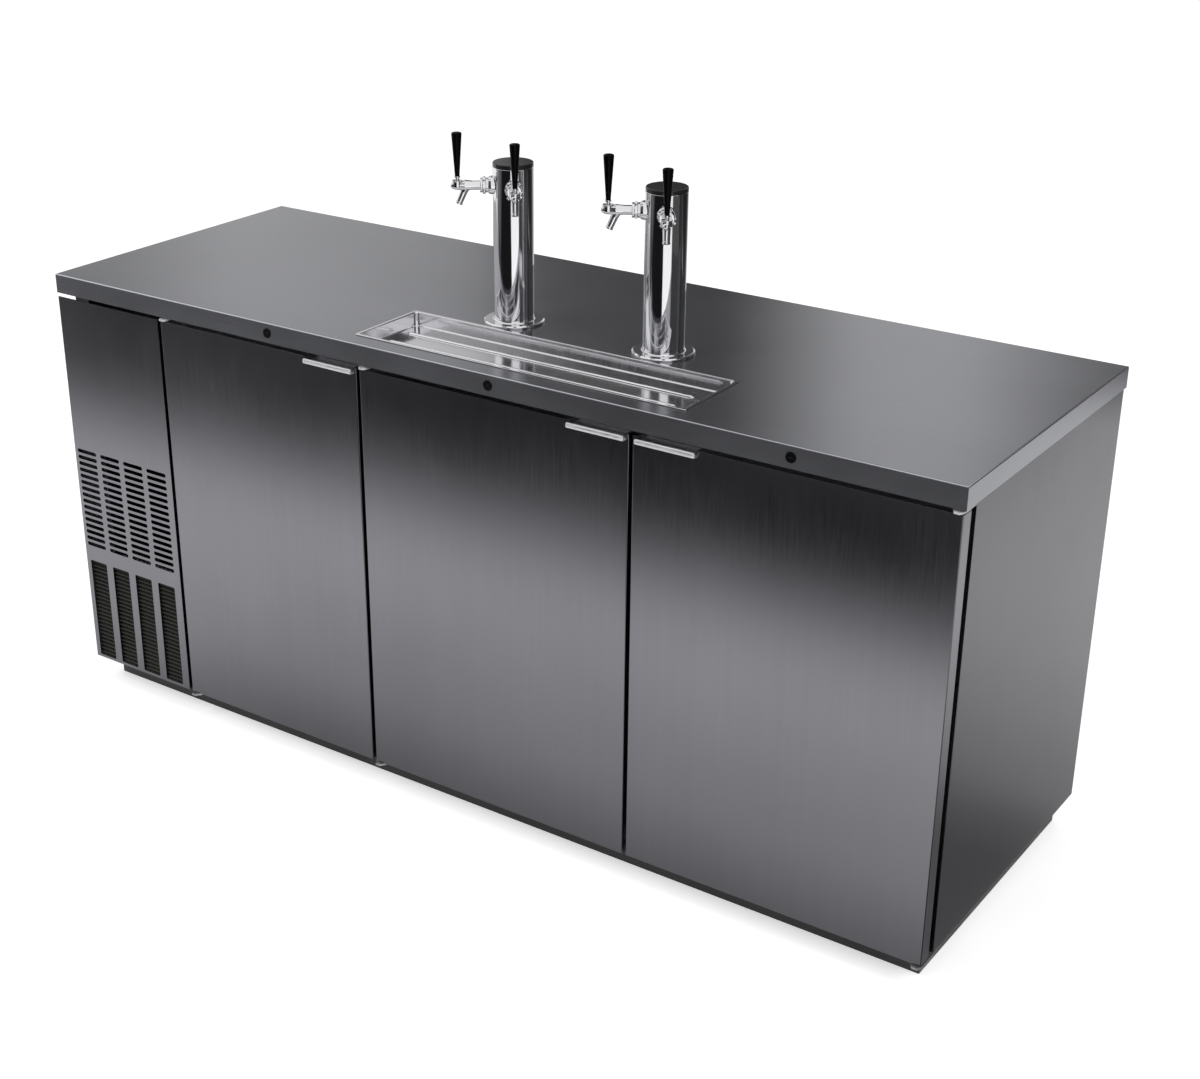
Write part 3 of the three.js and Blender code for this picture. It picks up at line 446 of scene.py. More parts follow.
def lathe_into(shape, profile, sides, matrix):
    """Revolves a profile about the Z axis of matrix. A point on the axis closes the end."""
    rings = []
    for radius, height in profile:
        if radius < ON_AXIS:
            rings.append([shape.verts.new(matrix @ Vector((0, 0, height)))])
            continue
        ring = []
        for side in range(sides):
            angle = 2 * math.pi * side / sides
            point = Vector((radius * math.cos(angle), radius * math.sin(angle), height))
            ring.append(shape.verts.new(matrix @ point))
        rings.append(ring)
    for low, high in zip(rings, rings[1:]):
        for side in range(sides):
            corners = [low[side % len(low)], low[(side + 1) % len(low)],
                       high[(side + 1) % len(high)], high[side % len(high)]]
            unique = list(dict.fromkeys(corners))
            if len(unique) > 2:
                shape.faces.new(unique)


def lathe(name, profile, sides, matrix, material):
    shape = bmesh.new()
    lathe_into(shape, profile, sides, matrix)
    return from_bmesh(name, shape, material)


def cut_out(shape, hole):
    """A bmesh of shape without what lies in hole. Both of them are used up."""
    made = [from_bmesh(name, solid, None, False) for name, solid in (("whole", shape), ("hole", hole))]
    cutting = made[0].modifiers.new("cutting", "BOOLEAN")
    cutting.operation = "DIFFERENCE"
    cutting.object = made[1]
    cutting.solver = "EXACT"
    mesh = evaluated_mesh(made[0])
    for piece in made:
        bpy.data.meshes.remove(piece.data)
    result = bmesh.new()
    result.from_mesh(mesh)
    bpy.data.meshes.remove(mesh)
    return result


def rounded_outline(low, high, radius, steps=ROUND_STEPS):
    """A rectangle with round corners."""
    centres = [(high[0] - radius, high[1] - radius), (low[0] + radius, high[1] - radius),
               (low[0] + radius, low[1] + radius), (high[0] - radius, low[1] + radius)]
    points = []
    for quarter, centre in enumerate(centres):
        points += arc(centre, (radius, radius), quarter / 2, (quarter + 1) / 2, steps)
    return points


def join_rings(shape, first, second):
    """Joins two closed rings of equally many vertices with quads."""
    count = len(first)
    for index in range(count):
        following = (index + 1) % count
        shape.faces.new([first[index], first[following], second[following], second[index]])


def skin(shape, loops, close_start=True):
    """Joins loops of equally many points with quads, and closes the last."""
    rings = [[shape.verts.new(point) for point in loop] for loop in loops]
    for low, high in zip(rings, rings[1:]):
        join_rings(shape, low, high)
    if close_start:
        shape.faces.new(rings[0])
    shape.faces.new(rings[-1])


def flat_face(corners):
    shape = bmesh.new()
    shape.faces.new([shape.verts.new(corner) for corner in corners])
    return shape


def turned(origin, axis):
    """A matrix whose Z axis lies along axis, at origin."""
    rotation = Vector((0, 0, 1)).rotation_difference(Vector(axis).normalized()).to_matrix().to_4x4()
    return Matrix.Translation(Vector(origin)) @ rotation


# Camera, floor, backdrop and lights

def make_camera():
    azimuth = math.radians(CAMERA_AZIMUTH)
    elevation = math.radians(CAMERA_ELEVATION)
    back = Vector((math.sin(azimuth) * math.cos(elevation), -math.cos(azimuth) * math.cos(elevation),
                   math.sin(elevation)))
    right = Vector((math.cos(azimuth), math.sin(azimuth), 0))
    up = back.cross(right)
    turn = Matrix((right, up, back)).transposed().to_4x4()
    data = bpy.data.cameras.new("camera")
    data.sensor_width = SENSOR_WIDTH
    data.sensor_fit = "HORIZONTAL"
    data.lens = FOCAL_PIXELS / IMAGE_WIDTH * SENSOR_WIDTH
    data.shift_x = (IMAGE_WIDTH / 2 - AXIS_PIXEL[0]) / IMAGE_WIDTH
    data.shift_y = (AXIS_PIXEL[1] - IMAGE_HEIGHT / 2) / IMAGE_WIDTH
    data.clip_end = VIEW_DISTANCE
    camera = bpy.data.objects.new("camera", data)
    camera.matrix_world = (Matrix.Translation(Vector(CAMERA_PLACE)) @ turn
                           @ Matrix.Rotation(math.radians(CAMERA_ROLL), 4, "Z"))
    bpy.context.scene.collection.objects.link(camera)
    bpy.context.scene.camera = camera


def seen_or_mirrored(tree):
    """1 for rays from the camera and in reflections or glass, else 0."""
    path = tree.nodes.new("ShaderNodeLightPath")
    total = path.outputs["Is Camera Ray"]
    for name in ("Is Glossy Ray", "Is Transmission Ray"):
        larger = tree.nodes.new("ShaderNodeMath")
        larger.operation = "MAXIMUM"
        tree.links.new(total, larger.inputs[0])
        tree.links.new(path.outputs[name], larger.inputs[1])
        total = larger.outputs[0]
    return total


# How bright the backdrop is as a light, and how much the floor is lifted to white where it is seen
WORLD_LIGHT = 0.62
FLOOR_LIFT = 0.50
FLOOR_HALF = 30
FLOOR_TONES = ((0.83, 0.83, 0.83, 1), (0.86, 0.86, 0.86, 1))


def make_world():
    world = bpy.data.worlds.new("studio")
    world.use_nodes = True
    bpy.context.scene.world = world
    tree = world.node_tree
    background = tree.nodes["Background"]
    background.inputs["Color"].default_value = WHITE
    level = tree.nodes.new("ShaderNodeMapRange")
    level.inputs["To Min"].default_value = WORLD_LIGHT
    level.inputs["To Max"].default_value = 1
    tree.links.new(seen_or_mirrored(tree), level.inputs["Value"])
    tree.links.new(level.outputs[0], background.inputs["Strength"])


def make_floor():
    made = Surface("floor_pale")
    speckle = made.noise(6, 3)
    tone = made.mix(made.span(speckle, 0, 1), *FLOOR_TONES)
    made.set(Base_Color=tone, Roughness=0.9, Specular_IOR_Level=0.0)
    lift = made.combine("MULTIPLY", seen_or_mirrored(made.tree), FLOOR_LIFT)
    glow = made.node("ShaderNodeEmission", {"Color": WHITE, "Strength": lift})
    both = made.node("ShaderNodeAddShader", {0: made.shader.outputs[0], 1: glow.outputs[0]})
    made.show(both.outputs[0])
    corners = [(x, y, 0) for x, y in rectangle((-FLOOR_HALF, FLOOR_HALF), (-FLOOR_HALF, FLOOR_HALF))]
    floor = from_bmesh("floor", flat_face(corners), made.material, False)


def rectangle(x, y):
    return [(x[0], y[0]), (x[1], y[0]), (x[1], y[1]), (x[0], y[1])]


CARD_TONE = (0.01, 0.01, 0.011, 1)
CARD_LIFT = 0.004


def make_card(name, corners, fades):
    """A dark card that only reflections see, like the black flags of a studio. Each fade is a world axis
    and a rising list of (place, cover), where a cover of 1 is dark and 0 is clear."""
    made = Surface(f"{name}_card")
    split = made.node("ShaderNodeSeparateXYZ", {"Vector": made.place})
    cover = 1.0
    for axis, stops in fades:
        first, last = stops[0][0], stops[-1][0]
        share = made.node("ShaderNodeMapRange", {
            "Value": split.outputs[axis], "From Min": first, "From Max": last}).outputs[0]
        ramp = made.node("ShaderNodeValToRGB", {"Fac": share})
        elements = ramp.color_ramp.elements
        elements[0].color = (stops[0][1],) * 3 + (1,)
        elements[-1].color = (stops[-1][1],) * 3 + (1,)
        for place_at, level in stops[1:-1]:
            elements.new((place_at - first) / (last - first)).color = (level, level, level, 1)
        cover = made.combine("MULTIPLY", ramp.outputs[0], cover)
    clear = made.node("ShaderNodeBsdfTransparent")
    dark = made.node("ShaderNodeEmission", {"Color": CARD_TONE, "Strength": 1.0})
    blend = made.node("ShaderNodeMixShader", {0: cover, 1: clear.outputs[0], 2: dark.outputs[0]})
    made.show(blend.outputs[0])
    card = from_bmesh(name, flat_face(corners), made.material, False)
    card.visible_camera = False
    card.visible_diffuse = False
    card.visible_shadow = False
    card.visible_transmission = False


def floor_card(name, outline, fades):
    make_card(name, [(x, y, CARD_LIFT) for x, y in outline], fades)


def wall_card(name, start, end, heights, fades):
    """A card that stands on the line from start to end."""
    low, high = heights
    make_card(name, [(*start, low), (*end, low), (*end, high), (*start, high)], fades)


# Where the cards meet, in metres
NEAR_END = -1.40
FRONT_END = -2.36
EDGE_END = -2.70
LEFT_END = -5
SKY_LEFT = -14
SKY_RIGHT = 4
SKY_PLACE = -6
SKY_BREAK = 2.5
SKY_TOP = 9
BACK_PLACE = 3
SIDE_PLACE = 3.4
CORNER_X = 2.1
CORNER_Y = 2.5


def make_cards():
    floor_card("near_flag", rectangle((LEFT_END, 1.5), (NEAR_END, -0.36)), [
        ("Y", [(NEAR_END, 0.17), (-1.25, 0.05), (-1.1, 0.08), (-0.83, 0.24), (-0.63, 0.33), (-0.36, 0.65)]),
        ("X", [(LEFT_END, 0.4), (-1.1, 0.5), (-0.8, 0.78), (-0.4, 1), (1.5, 1)])])
    floor_card("front_flag", rectangle((LEFT_END, 1.35), (FRONT_END, NEAR_END)), [
        ("Y", [(FRONT_END, 1), (-2.02, 1), (-1.82, 0.96), (-1.64, 0.72), (-1.5, 0.4), (NEAR_END, 0.17)]),
        ("X", [(LEFT_END, 0), (-4.2, 0.6), (-3.5, 0.86), (-3, 0.92), (-2.5, 1), (1.35, 1)])])
    floor_card("edge_flag", rectangle((LEFT_END, 1.2), (EDGE_END, FRONT_END)), [
        ("X", [(LEFT_END, 0.6), (-4, 0.97), (-2.9, 0.99), (-2.4, 0.9), (-1.9, 0.8), (-1.15, 1),
               (-0.2, 0.85), (1.2, 0.85)])])
    floor_card("far_flag", [(LEFT_END, -8), (2.9, -8), (1.2, EDGE_END), (LEFT_END, EDGE_END)], [
        ("X", [(LEFT_END, 0.8), (-4.2, 0.84), (-3.5, 0.9), (-3, 0.93), (-2.5, 1), (2.9, 1)])])
    floor_card("far_left_flag", [(SKY_LEFT, -9), (LEFT_END, -9), (LEFT_END, -2.9), (SKY_LEFT, -4.5)], [
        ("X", [(SKY_LEFT, 0.8), (LEFT_END, 0.8)])])
    floor_card("right_flag", rectangle((1.02, CORNER_X), (-0.8, CORNER_Y)), [
        ("Y", [(-0.8, 0.81), (0.12, 0.80), (0.25, 0.72), (0.4, 0.54), (0.7, 0.36), (1, 0.21), (1.3, 0.16),
               (CORNER_Y, 0.1)])])
    wall_card("back_flag", (-7, BACK_PLACE), (6, BACK_PLACE), (0, SKY_TOP), [
        ("X", [(-7, 0.6), (-4.7, 0.58), (-3.8, 0.25), (-2.8, 0.4), (-2.45, 0.5), (-2.2, 0.91), (-1.7, 0.92),
               (-1.3, 0.945), (-0.8, 0.2), (-0.4, 0.2), (0.1, 0.75), (1, 0.94), (6, 0.94)])])
    wall_card("low_sky_flag", (SKY_LEFT, SKY_PLACE), (SKY_RIGHT, SKY_PLACE), (0.3, SKY_BREAK), [
        ("X", [(SKY_LEFT, 0.7), (-8, 0.9), (-4, 0.95), (1.9, 0.93), (2.2, 0), (SKY_RIGHT, 0)])])
    wall_card("sky_flag", (-7, SKY_PLACE), (SKY_RIGHT, SKY_PLACE), (SKY_BREAK, SKY_TOP), [
        ("X", [(-7, 0), (-5.8, 0.5), (-4.5, 0.55), (-4, 0.93), (1.9, 0.93), (2.2, 0),
               (SKY_RIGHT, 0)])])
    wall_card("side_flag", (SIDE_PLACE, -1.62), (SIDE_PLACE, 2.9), (0, 5), [
        ("Y", [(-1.62, 0.93), (0.6, 0.93), (2.9, 0.6)])])
    floor_card("behind_flag", rectangle((CORNER_X, 6), (1, 6)), [("Y", [(1, 0.85), (6, 0.85)])])
    floor_card("corner_flag", rectangle((1.2, CORNER_X), (CORNER_Y, 5)), [
        ("Y", [(CORNER_Y, 0), (2.9, 0.5), (5, 0.6)])])


def make_lamp(name, place_at, aim, size, power):
    data = bpy.data.lights.new(name, "AREA")
    data.shape = "DISK"
    data.size = size
    data.energy = power
    lamp = bpy.data.objects.new(name, data)
    lamp.location = place_at
    lamp.rotation_euler = (Vector(aim) - Vector(place_at)).to_track_quat("-Z", "Y").to_euler()
    lamp.visible_glossy = False
    bpy.context.scene.collection.objects.link(lamp)


make_camera()
make_world()
make_floor()
make_cards()
make_lamp("key_lamp", (-2.6, -3.0, 3.6), aim=(0, 0, 0.6), size=2.2, power=75)
make_lamp("fill_lamp", (3.2, -0.6, 2.6), aim=(0.3, 0, 0.6), size=2.0, power=38)


# The towers

# Sections of turned pieces, here and below, are lists of radius, height and rounding
COLUMN_RADIUS = 0.0381
TUBE_BORE = 0.0356
FOOT_RADIUS = 0.058
FOOT_TOP = 0.0055
CAP_BAND = 0.008
CAP_PLUG_RADIUS = 0.0351
# The column's foot, over its lower end
FOOT_SECTION = (
    (TUBE_BORE, 0, 0), (0.0574, 0, 0), (FOOT_RADIUS, 0, 0), (FOOT_RADIUS, 0.0035, SOFT_ROUND),
    (0.055, FOOT_TOP, SOFT_ROUND), (COLUMN_RADIUS, FOOT_TOP, 0.004), (COLUMN_RADIUS, 0.0155, 0))
# The column's upper end and the cap, each under its own top
TUBE_END_SECTION = ((COLUMN_RADIUS, -0.0005, 0), (0.0376, 0, 0), (TUBE_BORE, 0, 0))
CAP_SECTION = (
    (0, -0.018, 0), (CAP_PLUG_RADIUS, -0.018, 0), (CAP_PLUG_RADIUS, -CAP_BAND, 0),
    (COLUMN_RADIUS, -CAP_BAND, FINE_ROUND), (COLUMN_RADIUS, 0, 0.0024), (0.02286, 0, 0), (0, 0, 0))


def make_tower(side):
    low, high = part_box(f"{side}_tower_column")
    centre = (low + high) / 2
    matrix = Matrix.Translation((centre.x, centre.y, 0))
    profile = [(TUBE_BORE, high.z, 0)] + raised(FOOT_SECTION, low.z) + raised(TUBE_END_SECTION, high.z)
    column = lathe(f"{side}_tower_tube", fillet(profile), FINE_SIDES, matrix, M["chrome"])
    place(column, "cabinet", "chrome", f"{side}_tower_column")
    profile = raised(CAP_SECTION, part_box(f"{side}_tower_cap")[1].z)
    lid = lathe(f"{side}_tower_lid", fillet(profile), FINE_SIDES, matrix, M["enamel"])
    place(lid, "cabinet", "chrome", f"{side}_tower_cap")


# Collar with the shank, coupling nut and faucet body: heights run outward from the tower's axis
SHANK_RADIUS = 0.011
COLLAR_RADIUS = 0.017
COLLAR_START = 0.030
COLLAR_END = 0.046
SHANK_END = 0.054
COLLAR_SECTION = (
    (SHANK_RADIUS, COLLAR_START, 0), (COLLAR_RADIUS, COLLAR_START, 0), (COLLAR_RADIUS, 0.0415, SOFT_ROUND),
    (0.0152, COLLAR_END, SOFT_ROUND), (SHANK_RADIUS, COLLAR_END, 0), (SHANK_RADIUS, SHANK_END, 0),
    (0, SHANK_END, 0))
NUT_RADIUS = 0.0135
NUT_BAND_RADIUS = 0.0143
NUT_BORE = 0.0113
NUT_MOUTH = 0.0088
NUT_START = 0.0463
NUT_BACK = 0.0583
NUT_END = 0.0613
NUT_SECTION = (
    (NUT_BORE, NUT_START, 0), (NUT_RADIUS, NUT_START, FINE_ROUND), (NUT_RADIUS, 0.0503, HAIR_ROUND),
    (NUT_BAND_RADIUS, 0.0513, HAIR_ROUND), (NUT_BAND_RADIUS, 0.0563, HAIR_ROUND),
    (NUT_RADIUS, 0.0573, HAIR_ROUND), (NUT_RADIUS, NUT_END, SOFT_ROUND), (NUT_MOUTH, NUT_END, 0),
    (NUT_MOUTH, NUT_BACK, 0), (NUT_BORE, NUT_BACK, 0), (NUT_BORE, NUT_START, 0))
WAIST_RADIUS = 0.0085
FLANGE_START = 0.0543
FLANGE_END = 0.058
NOSE_RADIUS = 0.0082
NOSE_STEPS = 12
LEVER_OFFSET = 0.103
REACH = 0.116
BODY_SECTION = (
    (0, FLANGE_START, 0), (SHANK_RADIUS, FLANGE_START, 0), (SHANK_RADIUS, FLANGE_END, THIN_ROUND),
    (WAIST_RADIUS, FLANGE_END, THIN_ROUND), (WAIST_RADIUS, 0.076, 0.01), (0.010, 0.089, 0.008),
    (NOSE_RADIUS, 0.102, 0))

# The nut's lugs, outward from its axis
LUG_COUNT = 4
LUG_RADIUS = 0.0032
LUG_ROOT = 0.012
LUG_REACH = 0.019
LUG_SECTION = ((0, LUG_ROOT, 0), (LUG_RADIUS, LUG_ROOT, 0), (LUG_RADIUS, LUG_REACH, SOFT_ROUND),
               (0, LUG_REACH, 0))

# The open socket for the lever's ball and the hole that it needs in the body, over the faucet's axis
SOCKET_RADIUS = 0.0095
SOCKET_BEAD = 0.0103
SOCKET_RISE = 0.0095
SOCKET_SECTION = (
    (0, -0.002, 0), (SOCKET_RADIUS, -0.002, 0), (SOCKET_RADIUS, 0.007, FINE_ROUND),
    (SOCKET_BEAD, 0.0075, FINE_ROUND), (SOCKET_BEAD, SOCKET_RISE, 0.0008), (0.0082, SOCKET_RISE, THIN_ROUND),
    (0.0052, 0.002, 0.001), (0, 0.001, 0))
SOCKET_HOLE = ((0, 0.0004), (0.0057, 0.0014), (0.0087, 0.0115), (0, 0.0115))

# The spout: its ends outward from the tower's axis, its root from its start and its tip from its end
SPOUT_START = 0.086
SPOUT_END = 0.101
SPOUT_DROP = 0.034
SPOUT_LIP = 0.0069
SPOUT_BORE = 0.0045
SPOUT_ROOT_SECTION = ((0, 0.002, 0), (0.00875, 0.002, 0), (0.007, 0.013, 0.004))
SPOUT_TIP_SECTION = (
    (0.0063, -0.004, 0.0008), (SPOUT_LIP, -0.003, HAIR_ROUND), (SPOUT_LIP, 0, FINE_ROUND),
    (SPOUT_BORE, 0, HAIR_ROUND), (SPOUT_BORE, -0.016, 0), (0, -0.016, 0))

# The lever's ball and neck, and the handle on it, over the pivot
PIVOT_RISE = 0.006
BALL_RADIUS = 0.0046
BALL_STEPS = 12
NECK_RADIUS = 0.0032
FERRULE_RADIUS = 0.0056
FERRULE_START = 0.0085
GRIP_RADIUS = 0.0044
HANDLE_START = 0.0115
HANDLE_END = 0.0925
NECK_SECTION = (
    (NECK_RADIUS, 0.00345, 0), (NECK_RADIUS, FERRULE_START, 0), (FERRULE_RADIUS, FERRULE_START, HAIR_ROUND),
    (FERRULE_RADIUS, HANDLE_START, FINE_ROUND), (GRIP_RADIUS, HANDLE_START, 0), (0, HANDLE_START, 0))
HANDLE_SECTION = (
    (0, HANDLE_START, 0), (GRIP_RADIUS, HANDLE_START, HAIR_ROUND), (0.0045, 0.013, FINE_ROUND),
    (0.0097, 0.0903, 0.0018), (0.008, 0.0917, SOFT_ROUND), (0.004, HANDLE_END, 0.002), (0, HANDLE_END, 0))


def make_nut(label, along):
    """The coupling nut, with a band round its middle and lugs for the spanner."""
    shape = bmesh.new()
    lathe_into(shape, fillet(NUT_SECTION), PART_SIDES, along)
    centre = along @ Vector((0, 0, (NUT_START + NUT_END) / 2))
    for lug in range(LUG_COUNT):
        angle = 2 * math.pi * lug / LUG_COUNT
        direction = along.to_3x3() @ Vector((math.cos(angle), math.sin(angle), 0))
        lathe_into(shape, fillet(LUG_SECTION), SMALL_SIDES, turned(centre, direction))
    nut = from_bmesh(f"{label}_nut", shape, M["chrome"])
    place(nut, "cabinet", "chrome", f"{label}_coupling_nut")


def make_faucet_body(label, root, outward, along):
    """The turned body, hollowed round the lever's ball, with the socket's wall and the bored spout."""
    shape = bmesh.new()
    nose = arc((0, LEVER_OFFSET), (NOSE_RADIUS, REACH - LEVER_OFFSET), 0, 0.5, NOSE_STEPS)
    lathe_into(shape, fillet(BODY_SECTION) + nose, PART_SIDES, along)
    upright = Matrix.Translation(root + outward * LEVER_OFFSET)
    hole = bmesh.new()
    lathe_into(hole, SOCKET_HOLE, PART_SIDES, upright)
    shape = cut_out(shape, hole)
    lathe_into(shape, fillet(SOCKET_SECTION), PART_SIDES, upright)
    start = root + outward * SPOUT_START
    tip = root + outward * SPOUT_END - Vector((0, 0, SPOUT_DROP))
    spout = list(SPOUT_ROOT_SECTION) + raised(SPOUT_TIP_SECTION, (tip - start).length)
    lathe_into(shape, fillet(spout), PART_SIDES, turned(start, tip - start))
    faucet = from_bmesh(f"{label}_faucet_body", shape, M["chrome"])
    place(faucet, "cabinet", "chrome", f"{label}_faucet")


def make_lever(label, pivot):
    lever = Matrix.Translation(pivot)
    profile = arc((0, 0), (BALL_RADIUS, BALL_RADIUS), -0.5, 0.25, BALL_STEPS) + fillet(NECK_SECTION)
    neck = lathe(f"{label}_lever_neck", profile, PART_SIDES, lever, M["chrome"])
    place(neck, f"{label}_lever", "chrome")
    grip = lathe(f"{label}_handle", fillet(HANDLE_SECTION), PART_SIDES, lever, M["handle"])
    place(grip, f"{label}_lever", "handle_black", f"{label}_tap_handle")


def make_faucet(tower, side):
    label = f"{tower}_tower_{side}"
    joint = joints[f"{label}_lever_tilt"]
    pivot = Vector(joint["pos_m"])
    axis = Vector(joint["axis"])
    outward = Vector((axis.y, -axis.x, 0))
    root = pivot - outward * LEVER_OFFSET
    root.z = pivot.z - PIVOT_RISE
    along = turned(root, outward)
    collar = lathe(f"{label}_collar", fillet(COLLAR_SECTION), PART_SIDES, along, M["chrome"])
    place(collar, "cabinet", "chrome", f"{label}_shank")
    make_nut(label, along)
    make_faucet_body(label, root, outward, along)
    make_lever(label, pivot)


for tower in SIDES:
    make_tower(tower)
    for side in SIDES:
        make_faucet(tower, side)


# Drip pan

PAN_DEPTH = 0.025
PAN_SHEET = 0.0003
PAN_RIM_TOP = 0.0015
PAN_RIM_WIDTH = 0.006
PAN_CORNER = 0.010
# The rim's section: how far in from the pan's edge, how far under the rim's top, and the corner's radius
RIM_SECTION = (
    (0.0075, PAN_RIM_TOP, 0.006), (0, PAN_RIM_TOP, 0.004), (0, 0.0005, 0.004), (0.0005, 0, 0.0035),
    (0.005, 0, 0.004), (0.0058, 0.0003, 0.006), (0.0064, 0.001, 0.007), (0.0066, 0.0022, PAN_CORNER))
# The soft corner between wall and floor: how far in, and how far over the floor
WALL_FOOT_SECTION = ((0.007, 0.0026), (0.0075, 0.0011), (0.0087, 0.0002), (0.0102, 0))

RIDGE_SHARES = (0.36, 0.70)
RIDGE_LEFT_GAP = 0.016
RIDGE_DRAIN_GAP = 0.014
RIDGE_HALF = 0.0045
RIDGE_HEIGHT = 0.0035
RIDGE_SINK = 0.0001
RIDGE_TAPER = 0.012
RIDGE_TAPER_SHARES = (0, 0.15, 0.35, 0.6, 0.85, 1)
RIDGE_TIP_SHARE = 0.02
RIDGE_STEPS = 10

DRAIN_RADIUS = 0.011
DRAIN_EDGE_GAP = 0.015
STRAINER_RISE = 0.0016
# The strainer, over the pan's floor
STRAINER_SECTION = (
    (0, 0.0002, 0), (0.008, 0.0002, WALL_ROUND), (0.010, STRAINER_RISE, FINE_ROUND),
    (0.0125, STRAINER_RISE, FINE_ROUND), (0.0135, 0.0001, 0))
HOLE_COUNT = 6
HOLE_SIDES = 16
HOLE_RADIUS = 0.0014
HOLE_CIRCLE = 0.0046
HOLE_LIFT = 0.0006
TAIL_BORE = 0.009
TAIL_FLANGE = 0.016
TAIL_FLANGE_DROP = 0.001
TAIL_NECK_DROP = 0.004


def add_ridge(shape, left, right, y, level):
    """A long low ridge along X with rounded ends."""
    places = [left + RIDGE_TAPER * share for share in RIDGE_TAPER_SHARES]
    places += [left + right - x for x in reversed(places)]
    scales = [math.sin(max(share, RIDGE_TIP_SHARE) * math.pi / 2) for share in RIDGE_TAPER_SHARES]
    loops = []
    for x, scale in zip(places, scales + scales[::-1]):
        section = arc((y, level), (RIDGE_HALF * scale, RIDGE_HEIGHT * scale), 0, 1, RIDGE_STEPS)
        loops.append([(x, *point) for point in section])
    skin(shape, loops)


def make_pan():
    low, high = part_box("drip_pan")
    rim = high.z
    floor_level = rim - PAN_RIM_TOP - PAN_SHEET - PAN_DEPTH
    wall_low = (low.x + PAN_RIM_WIDTH, low.y + PAN_RIM_WIDTH)
    wall_high = (high.x - PAN_RIM_WIDTH, high.y - PAN_RIM_WIDTH)

    def loop(inset, height, radius):
        outline = rounded_outline((low.x + inset, low.y + inset), (high.x - inset, high.y - inset), radius)
        return [(*point, height) for point in outline]

    shape = bmesh.new()
    loops = [loop(inset, rim - drop, radius) for inset, drop, radius in RIM_SECTION]
    loops += [loop(inset, floor_level + rise, PAN_CORNER) for inset, rise in WALL_FOOT_SECTION]
    skin(shape, loops, close_start=False)
    pan = from_bmesh("drip_pan_tray", shape, M["polished"])
    place(pan, "cabinet", "polished_steel", "drip_pan")

    drain_x = wall_high[0] - DRAIN_EDGE_GAP - DRAIN_RADIUS
    drain_y = (wall_low[1] + wall_high[1]) / 2
    shape = bmesh.new()
    right = drain_x - DRAIN_RADIUS - RIDGE_DRAIN_GAP
    left = wall_low[0] + RIDGE_LEFT_GAP
    for share in RIDGE_SHARES:
        y = wall_low[1] + (wall_high[1] - wall_low[1]) * share
        add_ridge(shape, left, right, y, floor_level - RIDGE_SINK)
    ridges = from_bmesh("drip_pan_ridges", shape, M["polished"])
    place(ridges, "cabinet", "polished_steel")
    make_drain(Matrix.Translation((drain_x, drain_y, 0)), low.z, floor_level)


def make_drain(matrix, end, floor_level):
    """The strainer with its ring of holes drawn as near-black discs, painted shade, and the tail under it."""
    profile = fillet(raised(STRAINER_SECTION, floor_level))
    strainer = lathe("drip_pan_strainer", profile, PART_SIDES, matrix, M["polished"])
    place(strainer, "cabinet", "polished_steel")
    level = floor_level + HOLE_LIFT
    # Each hole is a flat near-black disc on the strainer: painted shade
    for index in range(HOLE_COUNT):
        angle = 2 * math.pi * index / HOLE_COUNT
        offset = (HOLE_CIRCLE * math.cos(angle), HOLE_CIRCLE * math.sin(angle), 0)
        hole = lathe(f"drip_pan_strainer_hole_shade_{index}", [(0, level), (HOLE_RADIUS, level)], HOLE_SIDES,
                     matrix @ Matrix.Translation(offset), M["keyway"])
        place(hole, "cabinet", "polished_steel")
    neck = floor_level - TAIL_NECK_DROP
    flange = floor_level - TAIL_FLANGE_DROP
    profile = fillet([(TAIL_BORE, end, 0), (DRAIN_RADIUS, end, THIN_ROUND), (DRAIN_RADIUS, neck, WALL_ROUND),
                      (TAIL_FLANGE, flange, 0), (TAIL_BORE, flange, 0), (TAIL_BORE, end, 0)])
    tail = lathe("drip_pan_tail", profile, PART_SIDES, matrix, M["polished"])
    place(tail, "cabinet", "polished_steel")


make_pan()


# Doors

PULL_PLATE = 0.0021
PULL_BEAD = 0.0036
PULL_BEAD_LAP = 0.0005
PULL_STEPS = 12
# Where the bead's arc starts and ends, in half turns
PULL_ARC = (0.54, 1.46)
# At the pull's ends: how far in, and how far the bead shrinks toward its middle
PULL_ENDS = ((0, 0.35), (0.0006, 0.12), (0.0018, 0))


def make_pull(door):
    """A sheet lip: a flat plate on the pocket's floor that runs out into a full, rounded bead. The plate is
    painted black, as painted shade in the pocket above the bead.
    """
    low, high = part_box(f"{door}_door_pull")
    half_height = (high.z - low.z) / 2
    middle = Vector((low.y + PULL_BEAD, low.z + half_height))
    plate_front = middle.x + PULL_BEAD_LAP
    plate = [(high.y, low.z), (high.y, low.z + PULL_PLATE), (plate_front, low.z + PULL_PLATE)]
    bead = arc(middle, (PULL_BEAD, half_height), *PULL_ARC, PULL_STEPS)

    def loop(x, shrink):
        return [(x, *point) for point in plate + [Vector(point).lerp(middle, shrink) for point in bead]]

    loops = [loop(low.x + inset, shrink) for inset, shrink in PULL_ENDS]
    loops += [loop(high.x - inset, shrink) for inset, shrink in reversed(PULL_ENDS)]
    shape = bmesh.new()
    skin(shape, loops)
    # Faces behind the bead take the black paint: painted shade in the pocket
    for face in shape.faces:
        face.material_index = int(face.calc_center_median().y > plate_front)
    pull = from_bmesh(f"{door}_door_lip_pull", shape, M["satin"])
    pull.data.materials.append(M["base"])
    place(pull, f"{door}_door", "polished_steel", f"{door}_door_pull")


